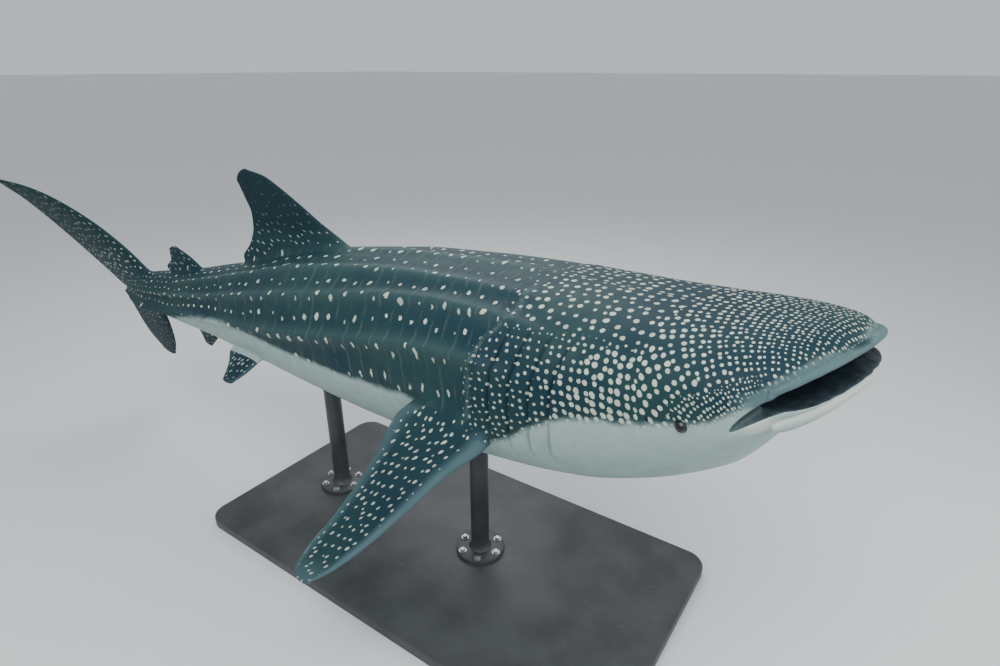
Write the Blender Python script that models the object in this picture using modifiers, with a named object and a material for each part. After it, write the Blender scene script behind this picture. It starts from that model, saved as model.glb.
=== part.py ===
# A life-size whale shark swimming with its mouth open, on a plain display stand.
# Metres, +Z up. The shark's length runs along X with its snout towards +X, and its right side faces -Y.
# The origin is the centre of the underside of the stand's base.

from math import cos, pi, radians, sin

import bmesh
import bpy
import numpy as np
from mathutils import Matrix, Vector

# Driving sizes. A name that ends in _SHARE is a share of TOTAL_LENGTH; the rest are metres or degrees.
TOTAL_LENGTH = 6.5
GAP = 0.0003
SNOUT_HEIGHT = 1.95
SNOUT_X = 2.02
SNOUT_Y = -0.208

# The spine runs back from the snout. At each of these shares of the length it heads this many degrees to
# the shark's right and tips its nose up. Its roll leans the back towards the shark's left.
SPINE_SHARES = (0.0, 0.06, 0.20, 0.45, 0.70, 1.0)
SPINE_YAW = (20.5, 11.6, 4.5, -2.5, -4.0, -4.0)
SPINE_PITCH = (14.5, 14.3, 13.5, 7.5, 2.5, 4.0)
ROLL_SHARES = (0.0, 0.13, 0.50, 0.85, 1.0)
SPINE_ROLL = (-4.5, 0.0, 0.0, -17.0, -17.0)
SPINE_STEPS = 400

# The outline of the body: share of length, half width, height of its widest line, of its back and its belly.
BODY_OUTLINE = (
    (0.000, 0.073, -0.010, 0.0135, -0.0225),
    (0.025, 0.073, -0.011, 0.0180, -0.032),
    (0.060, 0.075, -0.013, 0.0240, -0.053),
    (0.110, 0.081, -0.016, 0.0330, -0.072),
    (0.160, 0.086, -0.016, 0.043, -0.084),
    (0.210, 0.088, -0.014, 0.052, -0.089),
    (0.280, 0.085, -0.010, 0.063, -0.088),
    (0.360, 0.078, -0.004, 0.072, -0.078),
    (0.450, 0.068, 0.002, 0.074, -0.061),
    (0.540, 0.055, 0.006, 0.061, -0.044),
    (0.620, 0.042, 0.006, 0.047, -0.032),
    (0.700, 0.030, 0.003, 0.034, -0.026),
    (0.750, 0.023, 0.001, 0.027, -0.022),
    (0.780, 0.017, 0.000, 0.022, -0.019),
    (0.810, 0.008, 0.000, 0.013, -0.013),
)
BODY_END_SHARE = 0.810
# How square a section is: 2 is an ellipse.
SQUARENESS = ((0.0, 2.7), (0.12, 2.5), (0.25, 2.15), (0.80, 2.0))
# The blunt snout, seen from above, is a superellipse this long and this square.
SNOUT_LENGTH_SHARE = 0.085
SNOUT_SQUARENESS = 2.4
SNOUT_ROUND_SHARE = 0.018
CHIN_ROUND_SHARE = 0.060

# Half of the ring's angles, from the middle of the back down to the belly, closest at the ridges. The three
# ridge angles are bent with the ridges' tracks.
HALF_RING = (0, 9, 17, 25, 31, 37, 44, 51, 57, 63, 70, 77, 84, 90, 97, 105, 113, 123, 134, 146, 157, 168, 180)
RIDGE_COLUMNS = (31.0, 57.0, 84.0)
RIDGE_TRACK_SHARES = (0.0, 0.10, 0.26, 0.38, 0.50, 0.72, 0.81)
RIDGE_TRACKS = (
    (31.0, 31.0, 23.0, 26.0, 31.0, 34.0, 34.0),
    (57.0, 57.0, 40.0, 48.0, 56.0, 60.0, 60.0),
    (84.0, 84.0, 68.0, 75.0, 84.0, 90.0, 90.0),
)
# Each flank ridge's height and run, then those of the low ridge along the back.
RIDGE_HEIGHTS = (0.0034, 0.0044, 0.0048)
RIDGE_RUNS = ((0.22, 0.66), (0.18, 0.73), (0.20, 0.70))
BACK_RIDGE_HEIGHT = 0.0028
BACK_RIDGE_RUN = (0.22, 0.44)
RIDGE_WIDTH = 4.2
# The lowest ridge grows into the keel of the tail stalk.
KEEL_SHARE = 0.011
KEEL_WIDTH = 7.5
KEEL_RUN = (0.62, 0.74, 0.81)

# Gill slits: each flap rises to its free edge and drops into the slit behind it.
GILL_COUNT = 5
GILL_FIRST_SHARE = 0.151
GILL_PITCH_SHARE = 0.0165
GILL_LIFT_SHARE = 0.0022
GILL_SLIT_SHARE = 0.0036
GILL_SLIT_WIDTH_SHARE = 0.0020
GILL_ANGLES = (44.0, 62.0, 108.0, 122.0)
GILL_SLANT_SHARE = 0.022
GILL_SLANT_RUN = (0.1375, 0.2405, 0.0165)

# Where the body is parted into its pieces.
BODY_PIECES = (
    ("head", 0.0, 0.120),
    ("gill_region", 0.120, 0.260),
    ("trunk_front", 0.260, 0.430),
    ("trunk_rear", 0.430, 0.600),
    ("tail_base", 0.600, 0.700),
    ("tail_stalk", 0.700, BODY_END_SHARE),
)
PLAIN_STEP_SHARE = 0.020

# The mouth, in shares of length: half width, roof and floor of the gape, and its depth.
MOUTH_HALF_WIDTH = 0.0525
MOUTH_ROOF = 0.0028
MOUTH_FLOOR = -0.0155
# Along the gape and the throat: share of length, share of the half width and share of the half height.
MOUTH_STATIONS = (
    (-0.020, 1.00, 1.0),
    (0.035, 1.00, 1.0),
    (0.060, 1.00, 1.4),
    (0.088, 0.85, 1.6),
    (0.104, 0.50, 0.9),
)
MOUTH_SQUARENESS = 2.8
JAW_BACK_SHARE = 0.050
JAW_TOP = -0.0140
# How far the corners of the mouth hang below its middle, and how much its roof arches.
MOUTH_DROOP = 0.0045
MOUTH_ARCH = 0.62
# Each lip: radius, height, setback behind the snout's outline, droop at its ends, half width.
UPPER_LIP = (0.0034, 0.0050, 0.0025, 0.0125, 0.0545)
LOWER_LIP = (0.0044, -0.0172, 0.0115, 0.0034, 0.0515)

# Eyes, spiracles, nostrils: share back from the snout, side from the spine, height, radius.
EYE = (0.0670, -0.0180, 0.0048)
SPIRACLE = (0.0870, -0.0165, 0.0022)
NOSTRIL = (0.0200, -0.0010, 0.0019)
# The fold behind each corner of the mouth: share back, height, half length, depth, half height.
MOUTH_FOLD = (0.0350, -0.0155, 0.0130, 0.0050, 0.0030)
# The flap of skin that hangs from each nostril to the corner of the upper lip.
NASAL_FLAP = (0.0215, -0.0065, 0.0030, 0.0022, 0.0062)

# Stand.
BASE_SIZE = (2.9, 1.5, 0.06)
BASE_CORNER = 0.12
BASE_EDGE = 0.006
ROD_RADIUS = 0.055
ROD_SHARES = (0.285, 0.475)
FLANGE_RADIUS = 0.15
FLANGE_THICKNESS = 0.022
CUP_RADIUS = 0.13
CUP_HEIGHT = 0.10
ROUND_STEPS = 24

COLOURS = {
    "back_skin": ((0.036, 0.085, 0.100), 0.45),
    "pale_skin": ((0.42, 0.50, 0.46), 0.45),
    "fin_skin": ((0.030, 0.072, 0.088), 0.45),
    "eye": ((0.012, 0.014, 0.016), 0.08),
    "stand_steel": ((0.070, 0.075, 0.080), 0.35),
}


def clear_scene():
    for obj in list(bpy.data.objects):
        bpy.data.objects.remove(obj, do_unlink=True)


def make_materials():
    made = {}
    for name, (colour, roughness) in COLOURS.items():
        material = bpy.data.materials.new(name)
        material.use_nodes = True
        shader = material.node_tree.nodes["Principled BSDF"]
        shader.inputs["Base Color"].default_value = (*colour, 1.0)
        shader.inputs["Roughness"].default_value = roughness
        shader.inputs["Metallic"].default_value = 0.6 if name == "stand_steel" else 0.0
        made[name] = material
    return made


def smooth_curve(knots, values, at):
    """A curve through the values that doesn't overshoot between its knots."""
    x = np.asarray(knots, float)
    y = np.asarray(values, float)
    at = np.clip(np.asarray(at, float), x[0], x[-1])
    step = np.diff(x)
    slope = np.diff(y) / step
    tangent = np.zeros(len(x))
    tangent[0], tangent[-1] = slope[0], slope[-1]
    for i in range(1, len(x) - 1):
        if slope[i - 1] * slope[i] > 0:
            tangent[i] = 2 * slope[i - 1] * slope[i] / (slope[i - 1] + slope[i])
    i = np.clip(np.searchsorted(x, at, side="right") - 1, 0, len(step) - 1)
    t = (at - x[i]) / step[i]
    return (
        (2 * t**3 - 3 * t**2 + 1) * y[i]
        + (t**3 - 2 * t**2 + t) * step[i] * tangent[i]
        + (3 * t**2 - 2 * t**3) * y[i + 1]
        + (t**3 - t**2) * step[i] * tangent[i + 1]
    )


def smooth_step(low, high, x):
    t = np.clip((np.asarray(x, float) - low) / (high - low), 0.0, 1.0)
    return t * t * (3 - 2 * t)


def run_of(start, end, ease, s):
    """1 between two shares of the length, easing to 0 outside them."""
    return smooth_step(start - ease, start + ease, s) * (1 - smooth_step(end - ease, end + ease, s))


def make_spine():
    """Points and unit vectors (forward, left, up) along the spine, at even shares of the length."""
    shares = np.linspace(0.0, 1.0, SPINE_STEPS + 1)
    yaw = np.radians(smooth_curve(SPINE_SHARES, SPINE_YAW, shares))
    pitch = np.radians(smooth_curve(SPINE_SHARES, SPINE_PITCH, shares))
    roll = np.radians(smooth_curve(ROLL_SHARES, SPINE_ROLL, shares))
    forward = np.stack([np.cos(yaw) * np.cos(pitch), -np.sin(yaw) * np.cos(pitch), np.sin(pitch)], 1)
    step = TOTAL_LENGTH / SPINE_STEPS
    middle = (forward[1:] + forward[:-1]) / 2
    points = np.vstack([np.zeros(3), -np.cumsum(middle * step, axis=0)])
    points += np.array([SNOUT_X, SNOUT_Y, SNOUT_HEIGHT])
    left = np.cross(np.array([0.0, 0.0, 1.0]), forward)
    left /= np.linalg.norm(left, axis=1)[:, None]
    up = np.cross(forward, left)
    rolled_up = up * np.cos(roll)[:, None] + left * np.sin(roll)[:, None]
    rolled_left = left * np.cos(roll)[:, None] - up * np.sin(roll)[:, None]
    return shares, points, forward, rolled_left, rolled_up


SPINE = make_spine()


def along(table, s):
    return np.stack([np.interp(s, SPINE[0], table[:, i]) for i in range(3)], -1)


def place(s, y, z):
    """World points from shares of the length: s back from the snout, y to the left, z above the spine."""
    s, y, z = np.broadcast_arrays(*(np.asarray(v, float) for v in (s, y, z)))
    ahead = np.minimum(s, 0.0) * TOTAL_LENGTH
    points = along(SPINE[1], s) - along(SPINE[2], s) * ahead[..., None]
    left = along(SPINE[3], s) * (y * TOTAL_LENGTH)[..., None]
    up = along(SPINE[4], s) * (z * TOTAL_LENGTH)[..., None]
    return points + left + up


def nose_share(s, length, squareness):
    """How much of its full size a section has reached behind the tip of a blunt end."""
    t = np.clip(1 - np.asarray(s, float) / length, 0.0, 1.0)
    return (1 - t**squareness) ** (1 / squareness)


def body_sizes(s):
    """Half width, height of the widest line, rise to the back, drop to the belly, and squareness."""
    rows = np.array(BODY_OUTLINE)
    wide, middle, back, belly = (smooth_curve(rows[:, 0], rows[:, i], s) for i in (1, 2, 3, 4))
    wide = wide * nose_share(s, SNOUT_LENGTH_SHARE, SNOUT_SQUARENESS)
    rise = (back - middle) * nose_share(s, SNOUT_ROUND_SHARE, 2.2)
    drop = (middle - belly) * nose_share(s, CHIN_ROUND_SHARE, 1.6)
    shares, powers = zip(*SQUARENESS)
    return wide, middle, rise, drop, smooth_curve(shares, powers, s)


def gill_shift(s, angle):
    """The slits lean: their upper ends lie further forward."""
    return -GILL_SLANT_SHARE * np.cos(np.radians(angle)) * run_of(*GILL_SLANT_RUN, s)


def gill_relief(s, angle):
    """Height of the gill flaps above the plain flank, with the slits below it."""
    low, low_full, high_full, high = GILL_ANGLES
    window = smooth_step(low, low_full, angle) * (1 - smooth_step(high_full, high, angle))
    relief = np.zeros(np.broadcast(s, angle).shape)
    for i in range(GILL_COUNT):
        edge = GILL_FIRST_SHARE + i * GILL_PITCH_SHARE
        run = GILL_PITCH_SHARE * 0.75
        rise = np.clip((s - edge + run) / run, 0, 1) * (s <= edge + 1e-6)
        slit = np.exp(-(((s - edge - GILL_SLIT_WIDTH_SHARE) / (GILL_SLIT_WIDTH_SHARE * 0.9)) ** 2))
        relief = relief + GILL_LIFT_SHARE * rise**1.5 - GILL_SLIT_SHARE * slit * (s > edge + 1e-6)
    return relief * window


def ridge_angles(s):
    """The angle of each flank ridge at a share of the length."""
    return [float(smooth_curve(RIDGE_TRACK_SHARES, track, s)) for track in RIDGE_TRACKS]


def flank_angles(s, columns):
    """Bends the ring's columns so that each ridge keeps its own."""
    return smooth_curve((0.0, *RIDGE_COLUMNS, 125.0, 180.0), (0.0, *ridge_angles(s), 125.0, 180.0), columns)


def ridge_shape(away, width):
    return np.exp(-((away / width) ** 2))


def body_ring(s, angles, grow=0.0):
    """World points round one section, at angles in degrees from the middle of the back, right side first."""
    flank = flank_angles(s, np.minimum(angles, 360 - angles))
    angles = np.where(angles > 180, 360 - flank, flank)
    station = s + gill_shift(s, flank)
    wide, middle, rise, drop, power = body_sizes(station)
    a = np.radians(angles)
    across = np.sign(np.sin(a)) * np.abs(np.sin(a)) ** (2 / power)
    upright = np.sign(np.cos(a)) * np.abs(np.cos(a)) ** (2 / power)
    y = -wide * across
    z = np.where(upright > 0, rise, drop) * upright
    reach = np.hypot(y, z) + 1e-9
    lift = gill_relief(s, flank)
    keel = smooth_step(KEEL_RUN[0], KEEL_RUN[1], s) * (1 - 0.7 * smooth_step(KEEL_RUN[1], KEEL_RUN[2], s))
    tracks = ridge_angles(s)
    lift = lift + BACK_RIDGE_HEIGHT * ridge_shape(flank, RIDGE_WIDTH) * run_of(*BACK_RIDGE_RUN, 0.04, s)
    lift = lift + KEEL_SHARE * keel * ridge_shape(flank - tracks[2], KEEL_WIDTH)
    for track, height, run in zip(tracks, RIDGE_HEIGHTS, RIDGE_RUNS):
        lift = lift + height * ridge_shape(flank - track, RIDGE_WIDTH) * run_of(*run, 0.04, s)
    scale = 1 + (lift + grow / TOTAL_LENGTH) / reach
    return place(station, y * scale, middle + z * scale)


def ring_angles():
    half = np.array(HALF_RING, float)
    return np.concatenate([half, 360 - half[-2:0:-1]])


def gill_stations():
    """Each flap's crest, the bottom of its slit and two stations on the next flap."""
    found = [GILL_FIRST_SHARE - 0.022, GILL_FIRST_SHARE - 0.013, GILL_FIRST_SHARE - 0.006]
    for i in range(GILL_COUNT):
        edge = GILL_FIRST_SHARE + i * GILL_PITCH_SHARE
        slit = edge + GILL_SLIT_WIDTH_SHARE
        found += [edge, slit, slit + GILL_SLIT_WIDTH_SHARE * 1.2, edge + GILL_PITCH_SHARE * 0.55]
    return found


def body_stations():
    """Shares of the length at which the body has a section, with one on each side of every parting."""
    nose = SNOUT_LENGTH_SHARE * (1 - np.cos(np.radians((9, 17, 26, 36, 47, 59, 72, 90))))
    head = (0.071, 0.083, 0.095, 0.108)
    plain = np.arange(0.242, BODY_END_SHARE, PLAIN_STEP_SHARE)
    half_gap = GAP / 2 / TOTAL_LENGTH
    partings = [at + side for _, at, _ in BODY_PIECES[1:] for side in (-half_gap, half_gap)]
    close = [s for s in plain if min(abs(s - at) for _, at, _ in BODY_PIECES[1:]) > PLAIN_STEP_SHARE * 0.3]
    return np.array(sorted([*nose, *head, *gill_stations(), *close, *partings, BODY_END_SHARE]))


def loft_mesh(rings, tip=None, end=None):
    """Vertices and triangles of a closed loft. Each end is a fan round its middle, or round a given point."""
    count, around = rings.shape[:2]
    first = rings[0].mean(0) if tip is None else np.asarray(tip)
    last = rings[-1].mean(0) if end is None else np.asarray(end)
    verts = np.vstack([rings.reshape(-1, 3), first, last])
    faces = []
    for i in range(count - 1):
        for j in range(around):
            k = (j + 1) % around
            a, b = i * around + j, i * around + k
            c, d = (i + 1) * around + k, (i + 1) * around + j
            faces += [(a, c, b), (a, d, c)]
    for j in range(around):
        k = (j + 1) % around
        faces.append((count * around, j, k))
        faces.append((count * around + 1, (count - 1) * around + k, (count - 1) * around + j))
    return verts, faces


def mesh_object(name, verts, faces, material, collection):
    mesh = bpy.data.meshes.new(name)
    mesh.from_pydata([tuple(v) for v in verts], [], [tuple(f) for f in faces])
    mesh.update()
    work = bmesh.new()
    work.from_mesh(mesh)
    bmesh.ops.recalc_face_normals(work, faces=work.faces)
    work.to_mesh(mesh)
    work.free()
    mesh.shade_smooth()
    obj = bpy.data.objects.new(name, mesh)
    collection.objects.link(obj)
    if material is not None:
        mesh.materials.append(material)
    return obj


def body_piece(name, start, end, material, collection, grow=0.0):
    """One length of the body between two partings, with flat ends that face its neighbours."""
    angles = ring_angles()
    half_gap = GAP / 2 / TOTAL_LENGTH
    stations = [s for s in body_stations() if start - half_gap * 0.2 <= s <= end + half_gap * 0.2]
    if start > 0:
        stations = [s for s in stations if s > start + half_gap * 0.5]
    if end < BODY_END_SHARE:
        stations = [s for s in stations if s < end - half_gap * 0.5]
    rings = np.array([body_ring(s, angles, grow) for s in stations])
    tip = place(-grow / TOTAL_LENGTH, 0.0, BODY_OUTLINE[0][2]) if start == 0 else None
    tail = place(BODY_END_SHARE + 0.004 + grow / TOTAL_LENGTH, 0.0, 0.0) if end == BODY_END_SHARE else None
    verts, faces = loft_mesh(rings, tip, tail)
    return mesh_object(name, verts, faces, material, collection)


def fin_rings(lead, trail, thickness, span_steps, tip_round):
    """Rows of (back, out, thickness) along a fin, from its root to its rounded tip."""
    t = np.linspace(0, 1, span_steps)
    rows = []
    lead, trail = np.array(lead, float), np.array(trail, float)
    knots = np.linspace(0, 1, len(lead))
    front = np.stack([smooth_curve(knots, lead[:, i], t) for i in (0, 1)], 1)
    back = np.stack([smooth_curve(np.linspace(0, 1, len(trail)), trail[:, i], t) for i in (0, 1)], 1)
    thick = smooth_curve(np.linspace(0, 1, len(thickness)), thickness, t)
    for f, b, h in zip(front, back, thick):
        rows.append((f, b, h))
    f, b, h = rows[-1]
    middle, half = (f + b) / 2, (b - f) / 2
    outward = rows[-1][0] + rows[-1][1] - rows[-3][0] - rows[-3][1]
    outward /= np.linalg.norm(outward)
    for turn in (28, 52, 72):
        shrink, reach = cos(radians(turn)), sin(radians(turn)) * tip_round
        tip = middle + outward * reach
        rows.append((tip - half * shrink, tip + half * shrink, h * shrink))
    return rows


FIN_CHORD = (0.0, 0.03, 0.11, 0.28, 0.50, 0.75, 1.0)
FIN_EDGE_THICKNESS = 0.005


def fin_object(name, rows, to_world, material, collection):
    """A fin from its rows: a rounded leading edge, its thickest part forward, and a thin trailing edge."""
    chord = np.array(FIN_CHORD)
    front = 0.2969 * np.sqrt(chord) - 0.1260 * chord
    profile = 2.6 * (front - 0.3516 * chord**2 + 0.2843 * chord**3 - 0.1036 * chord**4)
    last = len(chord) - 1
    upper, lower = [], []
    for front, back, thick in rows:
        line = front[None, :] + (back - front)[None, :] * chord[:, None]
        half = np.maximum(thick * profile * 1.9 / 2, FIN_EDGE_THICKNESS / 2 / TOTAL_LENGTH)
        half[0] = 0.0
        upper.append(to_world(line[:, 0], line[:, 1], half))
        lower.append(to_world(line[:, 0], line[:, 1], -half))
    upper, lower = np.array(upper), np.array(lower)
    rows_count, wide = upper.shape[:2]
    verts = np.vstack([upper.reshape(-1, 3), lower.reshape(-1, 3)])
    below = rows_count * wide

    def low(i, c):
        return i * wide + c if c == 0 else below + i * wide + c

    faces = []
    for i in range(rows_count - 1):
        for c in range(last):
            a, b = i * wide + c, i * wide + c + 1
            d, e = (i + 1) * wide + c, (i + 1) * wide + c + 1
            faces += [(a, b, e), (a, e, d)]
            faces.append((low(i, c), low(i + 1, c + 1), low(i, c + 1)))
            faces.append((low(i, c), low(i + 1, c), low(i + 1, c + 1)))
        a, d = i * wide + last, (i + 1) * wide + last
        faces += [(a, low(i, last), low(i + 1, last)), (a, low(i + 1, last), d)]
    for i in (0, rows_count - 1):
        for c in range(last):
            a, b = i * wide + c, i * wide + c + 1
            faces.append((a, b, low(i, c + 1)))
            if c > 0:
                faces.append((a, low(i, c + 1), low(i, c)))
    used = sorted({v for face in faces for v in face})
    number = {v: n for n, v in enumerate(used)}
    faces = [tuple(number[v] for v in face) for face in faces]
    return mesh_object(name, verts[used], faces, material, collection)


def boolean(obj, other, operation, solver="EXACT"):
    """Adds a Boolean with one object and applies it."""
    modifier = obj.modifiers.new("cut" if operation == "DIFFERENCE" else "join", "BOOLEAN")
    modifier.operation = operation
    modifier.solver = solver
    modifier.object = other
    bpy.context.view_layer.update()
    graph = bpy.context.evaluated_depsgraph_get()
    mesh = bpy.data.meshes.new_from_object(obj.evaluated_get(graph))
    obj.modifiers.remove(modifier)
    old = obj.data
    obj.data = mesh
    bpy.data.meshes.remove(old)


def keep_largest(obj):
    """Leaves only the largest closed surface of a mesh."""
    work = bmesh.new()
    work.from_mesh(obj.data)
    left = set(work.faces)
    groups = []
    while left:
        stack, group = [left.pop()], []
        while stack:
            face = stack.pop()
            group.append(face)
            for edge in face.edges:
                for other in edge.link_faces:
                    if other in left:
                        left.remove(other)
                        stack.append(other)
        groups.append(group)
    groups.sort(key=lambda g: sum(f.calc_area() for f in g))
    loose = [face for group in groups[:-1] for face in group]
    bmesh.ops.delete(work, geom=loose, context="FACES")
    work.to_mesh(obj.data)
    work.free()


def flat_fin(s, z, y):
    """To world for a fin in the body's middle plane."""
    return place(s, y, z)


# Fins in the middle plane: leading and trailing edges as (share back, share up), from the sunk root out.
MIDDLE_FINS = {
    "dorsal_fin_first": dict(
        lead=(
            (0.405, 0.060), (0.427, 0.083), (0.450, 0.099), (0.473, 0.1155),
            (0.498, 0.132), (0.520, 0.144), (0.540, 0.1495),
        ),
        trail=(
            (0.550, 0.038), (0.5755, 0.060), (0.560, 0.077), (0.550, 0.094),
            (0.548, 0.109), (0.552, 0.122), (0.557, 0.137),
        ),
        thickness=(0.026, 0.020, 0.016, 0.013, 0.011, 0.009, 0.007),
        tip_round=0.006,
        span_steps=13,
    ),
    "dorsal_fin_second": dict(
        lead=((0.636, 0.028), (0.650, 0.044), (0.664, 0.057), (0.679, 0.066)),
        trail=((0.682, 0.018), (0.711, 0.038), (0.698, 0.050), (0.694, 0.061)),
        thickness=(0.013, 0.010, 0.007, 0.005),
        tip_round=0.003,
        span_steps=9,
    ),
    "anal_fin": dict(
        lead=((0.642, -0.022), (0.656, -0.037), (0.671, -0.051), (0.687, -0.063)),
        trail=((0.682, -0.014), (0.710, -0.034), (0.702, -0.046), (0.701, -0.059)),
        thickness=(0.012, 0.009, 0.007, 0.005),
        tip_round=0.003,
        span_steps=8,
    ),
    "caudal_lobe_upper": dict(
        lead=(
            (0.743, 0.006), (0.762, 0.042), (0.787, 0.071), (0.816, 0.095),
            (0.851, 0.114), (0.892, 0.128), (0.933, 0.136), (0.968, 0.140),
        ),
        trail=(
            (0.790, -0.008), (0.825, -0.001), (0.843, 0.018), (0.862, 0.040),
            (0.884, 0.064), (0.909, 0.089), (0.938, 0.114), (0.970, 0.133),
        ),
        thickness=(0.022, 0.021, 0.019, 0.016, 0.013, 0.010, 0.008, 0.006),
        tip_round=0.006,
        span_steps=16,
    ),
    "caudal_lobe_lower": dict(
        lead=((0.748, -0.004), (0.766, -0.030), (0.774, -0.058), (0.787, -0.084), (0.806, -0.106)),
        trail=((0.790, 0.004), (0.829, -0.008), (0.839, -0.038), (0.842, -0.072), (0.833, -0.102)),
        thickness=(0.020, 0.016, 0.012, 0.009, 0.006),
        tip_round=0.006,
        span_steps=13,
    ),
}

# Paired fins: where the root's front lies, the fin's two directions as (back, out, down) and its edges as
# (share along the chord, share along the span).
PAIRED_FINS = {
    "pectoral_fin": dict(
        root=(0.206, 0.086, -0.050),
        chord_way=(0.95, 0.22, -0.22),
        span_way=(0.073, 0.529, 0.845),
        lead=(
            (-0.004, -0.030), (0.008, 0.000), (0.030, 0.0245), (0.053, 0.055),
            (0.077, 0.086), (0.099, 0.110), (0.116, 0.124),
        ),
        trail=(
            (0.050, -0.036), (0.083, -0.004), (0.088, 0.018), (0.099, 0.048),
            (0.113, 0.078), (0.1245, 0.098), (0.131, 0.114),
        ),
        thickness=(0.024, 0.021, 0.017, 0.014, 0.011, 0.009, 0.007),
        tip_round=0.007,
        span_steps=15,
    ),
    "pelvic_fin": dict(
        root=(0.505, 0.044, -0.018),
        chord_way=(0.99, 0.05, 0.05),
        span_way=(0.30, 0.66, 0.72),
        lead=((-0.004, -0.012), (0.006, 0.010), (0.014, 0.026), (0.024, 0.038)),
        trail=((0.040, -0.012), (0.060, 0.000), (0.049, 0.018), (0.043, 0.034)),
        thickness=(0.011, 0.009, 0.006, 0.005),
        tip_round=0.003,
        span_steps=8,
    ),
}


def paired_way(root, side, way):
    """A unit vector in world space from (back, out, down) at a fin's root."""
    back, out, down = way
    forward, left, up = (along(SPINE[i], root[0]) for i in (2, 3, 4))
    world = -forward * back + left * out * side - up * down
    return world / np.linalg.norm(world)


def paired_fin(name, side, spec, material, collection):
    """One fin of a pair. Side is -1 on the shark's right and 1 on its left."""
    root = spec["root"]
    origin = place(root[0], root[1] * side, root[2])
    chord = paired_way(root, side, spec["chord_way"])
    span = paired_way(root, side, spec["span_way"])
    normal = np.cross(chord, span) * side
    normal /= np.linalg.norm(normal)

    def to_world(back, out, half):
        back, out, half = (np.asarray(v)[..., None] * TOTAL_LENGTH for v in (back, out, half))
        return origin + chord * back + span * out + normal * half

    shape = {key: spec[key] for key in ("lead", "trail", "thickness", "span_steps", "tip_round")}
    return fin_object(name, fin_rings(**shape), to_world, material, collection)


def fins(materials, collection, cutter):
    made = []
    for name, spec in MIDDLE_FINS.items():
        made.append(fin_object(name, fin_rings(**spec), flat_fin, materials["fin_skin"], collection))
    for name, spec in PAIRED_FINS.items():
        for side, word in ((-1, "right"), (1, "left")):
            made.append(paired_fin(f"{name}_{word}", side, spec, materials["fin_skin"], collection))
    for obj in made:
        boolean(obj, cutter, "DIFFERENCE")
        keep_largest(obj)
    return {obj.name: obj for obj in made}


def block(name, low, high, collection):
    """A closed box whose corners are given in shares of the length, bent with the spine."""
    steps = np.linspace(low[0], high[0], 9)
    ring = [(low[1], low[2]), (high[1], low[2]), (high[1], high[2]), (low[1], high[2])]
    rings = np.array([[place(s, y, z) for y, z in ring] for s in steps])
    verts, faces = loft_mesh(rings)
    return mesh_object(name, verts, faces, None, collection)


def part_tail_lobes(made, collection):
    """Parts the two lobes of the tail fin along a line from the tail stalk to the fork."""
    half_gap = GAP / 2 / TOTAL_LENGTH
    line = -0.004
    keep = {
        "caudal_lobe_upper": ((0.74, -0.05, line + half_gap), (0.999, 0.05, 0.2)),
        "caudal_lobe_lower": ((0.74, -0.05, -0.2), (0.999, 0.05, line - half_gap)),
    }
    for name, (low, high) in keep.items():
        side = block(name + "_side", low, high, collection)
        boolean(made[name], side, "INTERSECT")
        bpy.data.objects.remove(side)
        keep_largest(made[name])


def mouth_cutter(collection):
    """The gape and the hollow behind it."""
    angles = np.radians(np.arange(0, 360, 15))
    middle = (MOUTH_ROOF + MOUTH_FLOOR) / 2
    half_height = (MOUTH_ROOF - MOUTH_FLOOR) / 2
    rows = np.array(MOUTH_STATIONS)
    power = 2 / MOUTH_SQUARENESS
    rings = []
    for s in np.linspace(rows[0, 0], rows[-1, 0], 12):
        wide = MOUTH_HALF_WIDTH * smooth_curve(rows[:, 0], rows[:, 1], s)
        high = half_height * smooth_curve(rows[:, 0], rows[:, 2], s)
        y = wide * np.sign(np.sin(angles)) * np.abs(np.sin(angles)) ** power
        rise = high * np.sign(np.cos(angles)) * np.abs(np.cos(angles)) ** power
        arch = np.where(rise > 0, 1 - MOUTH_ARCH * (y / wide) ** 2, 1.0)
        z = middle + rise * arch - MOUTH_DROOP * (y / wide) ** 2
        rings.append(place(s, y, z))
    verts, faces = loft_mesh(np.array(rings))
    return mesh_object("mouth_space", verts, faces, None, collection)


def snout_edge(y, setback):
    """Share back from the snout tip of the blunt front edge, at a share to the side."""
    reach = np.clip(np.abs(y) / BODY_OUTLINE[0][1], 0, 0.985)
    edge = SNOUT_LENGTH_SHARE * (1 - (1 - reach**SNOUT_SQUARENESS) ** (1 / SNOUT_SQUARENESS))
    return edge + setback * (1 - 0.6 * reach**2)


def lip_object(name, shape, collection):
    """A roll along one edge of the mouth, from corner to corner, thinner towards its ends."""
    radius, height, setback, droop, wide = shape
    turns = np.linspace(-1, 1, 23)
    y = wide * np.sin(turns * pi / 2)
    s = snout_edge(y, setback)
    z = height - droop * (y / wide) ** 2
    centre = place(s, y, z)
    around = np.radians(np.arange(0, 360, 45))
    rings = []
    for i, turn in enumerate(turns):
        ahead = centre[min(i + 1, len(turns) - 1)] - centre[max(i - 1, 0)]
        ahead /= np.linalg.norm(ahead)
        up = along(SPINE[4], s[i])
        side = np.cross(ahead, up)
        side /= np.linalg.norm(side)
        up = np.cross(side, ahead)
        size = radius * TOTAL_LENGTH * (1 - 0.65 * abs(turn) ** 5)
        rings.append(centre[i] + (np.cos(around)[:, None] * side + np.sin(around)[:, None] * up) * size)
    verts, faces = loft_mesh(np.array(rings))
    return mesh_object(name, verts, faces, None, collection)


def flank_point(s, z):
    """Half width of the body at a share of the length and a height within its depth."""
    wide, middle, rise, drop, power = body_sizes(s)
    full = rise if z > middle else drop
    return float(wide * (1 - abs((z - middle) / full) ** power) ** (1 / power))


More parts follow.
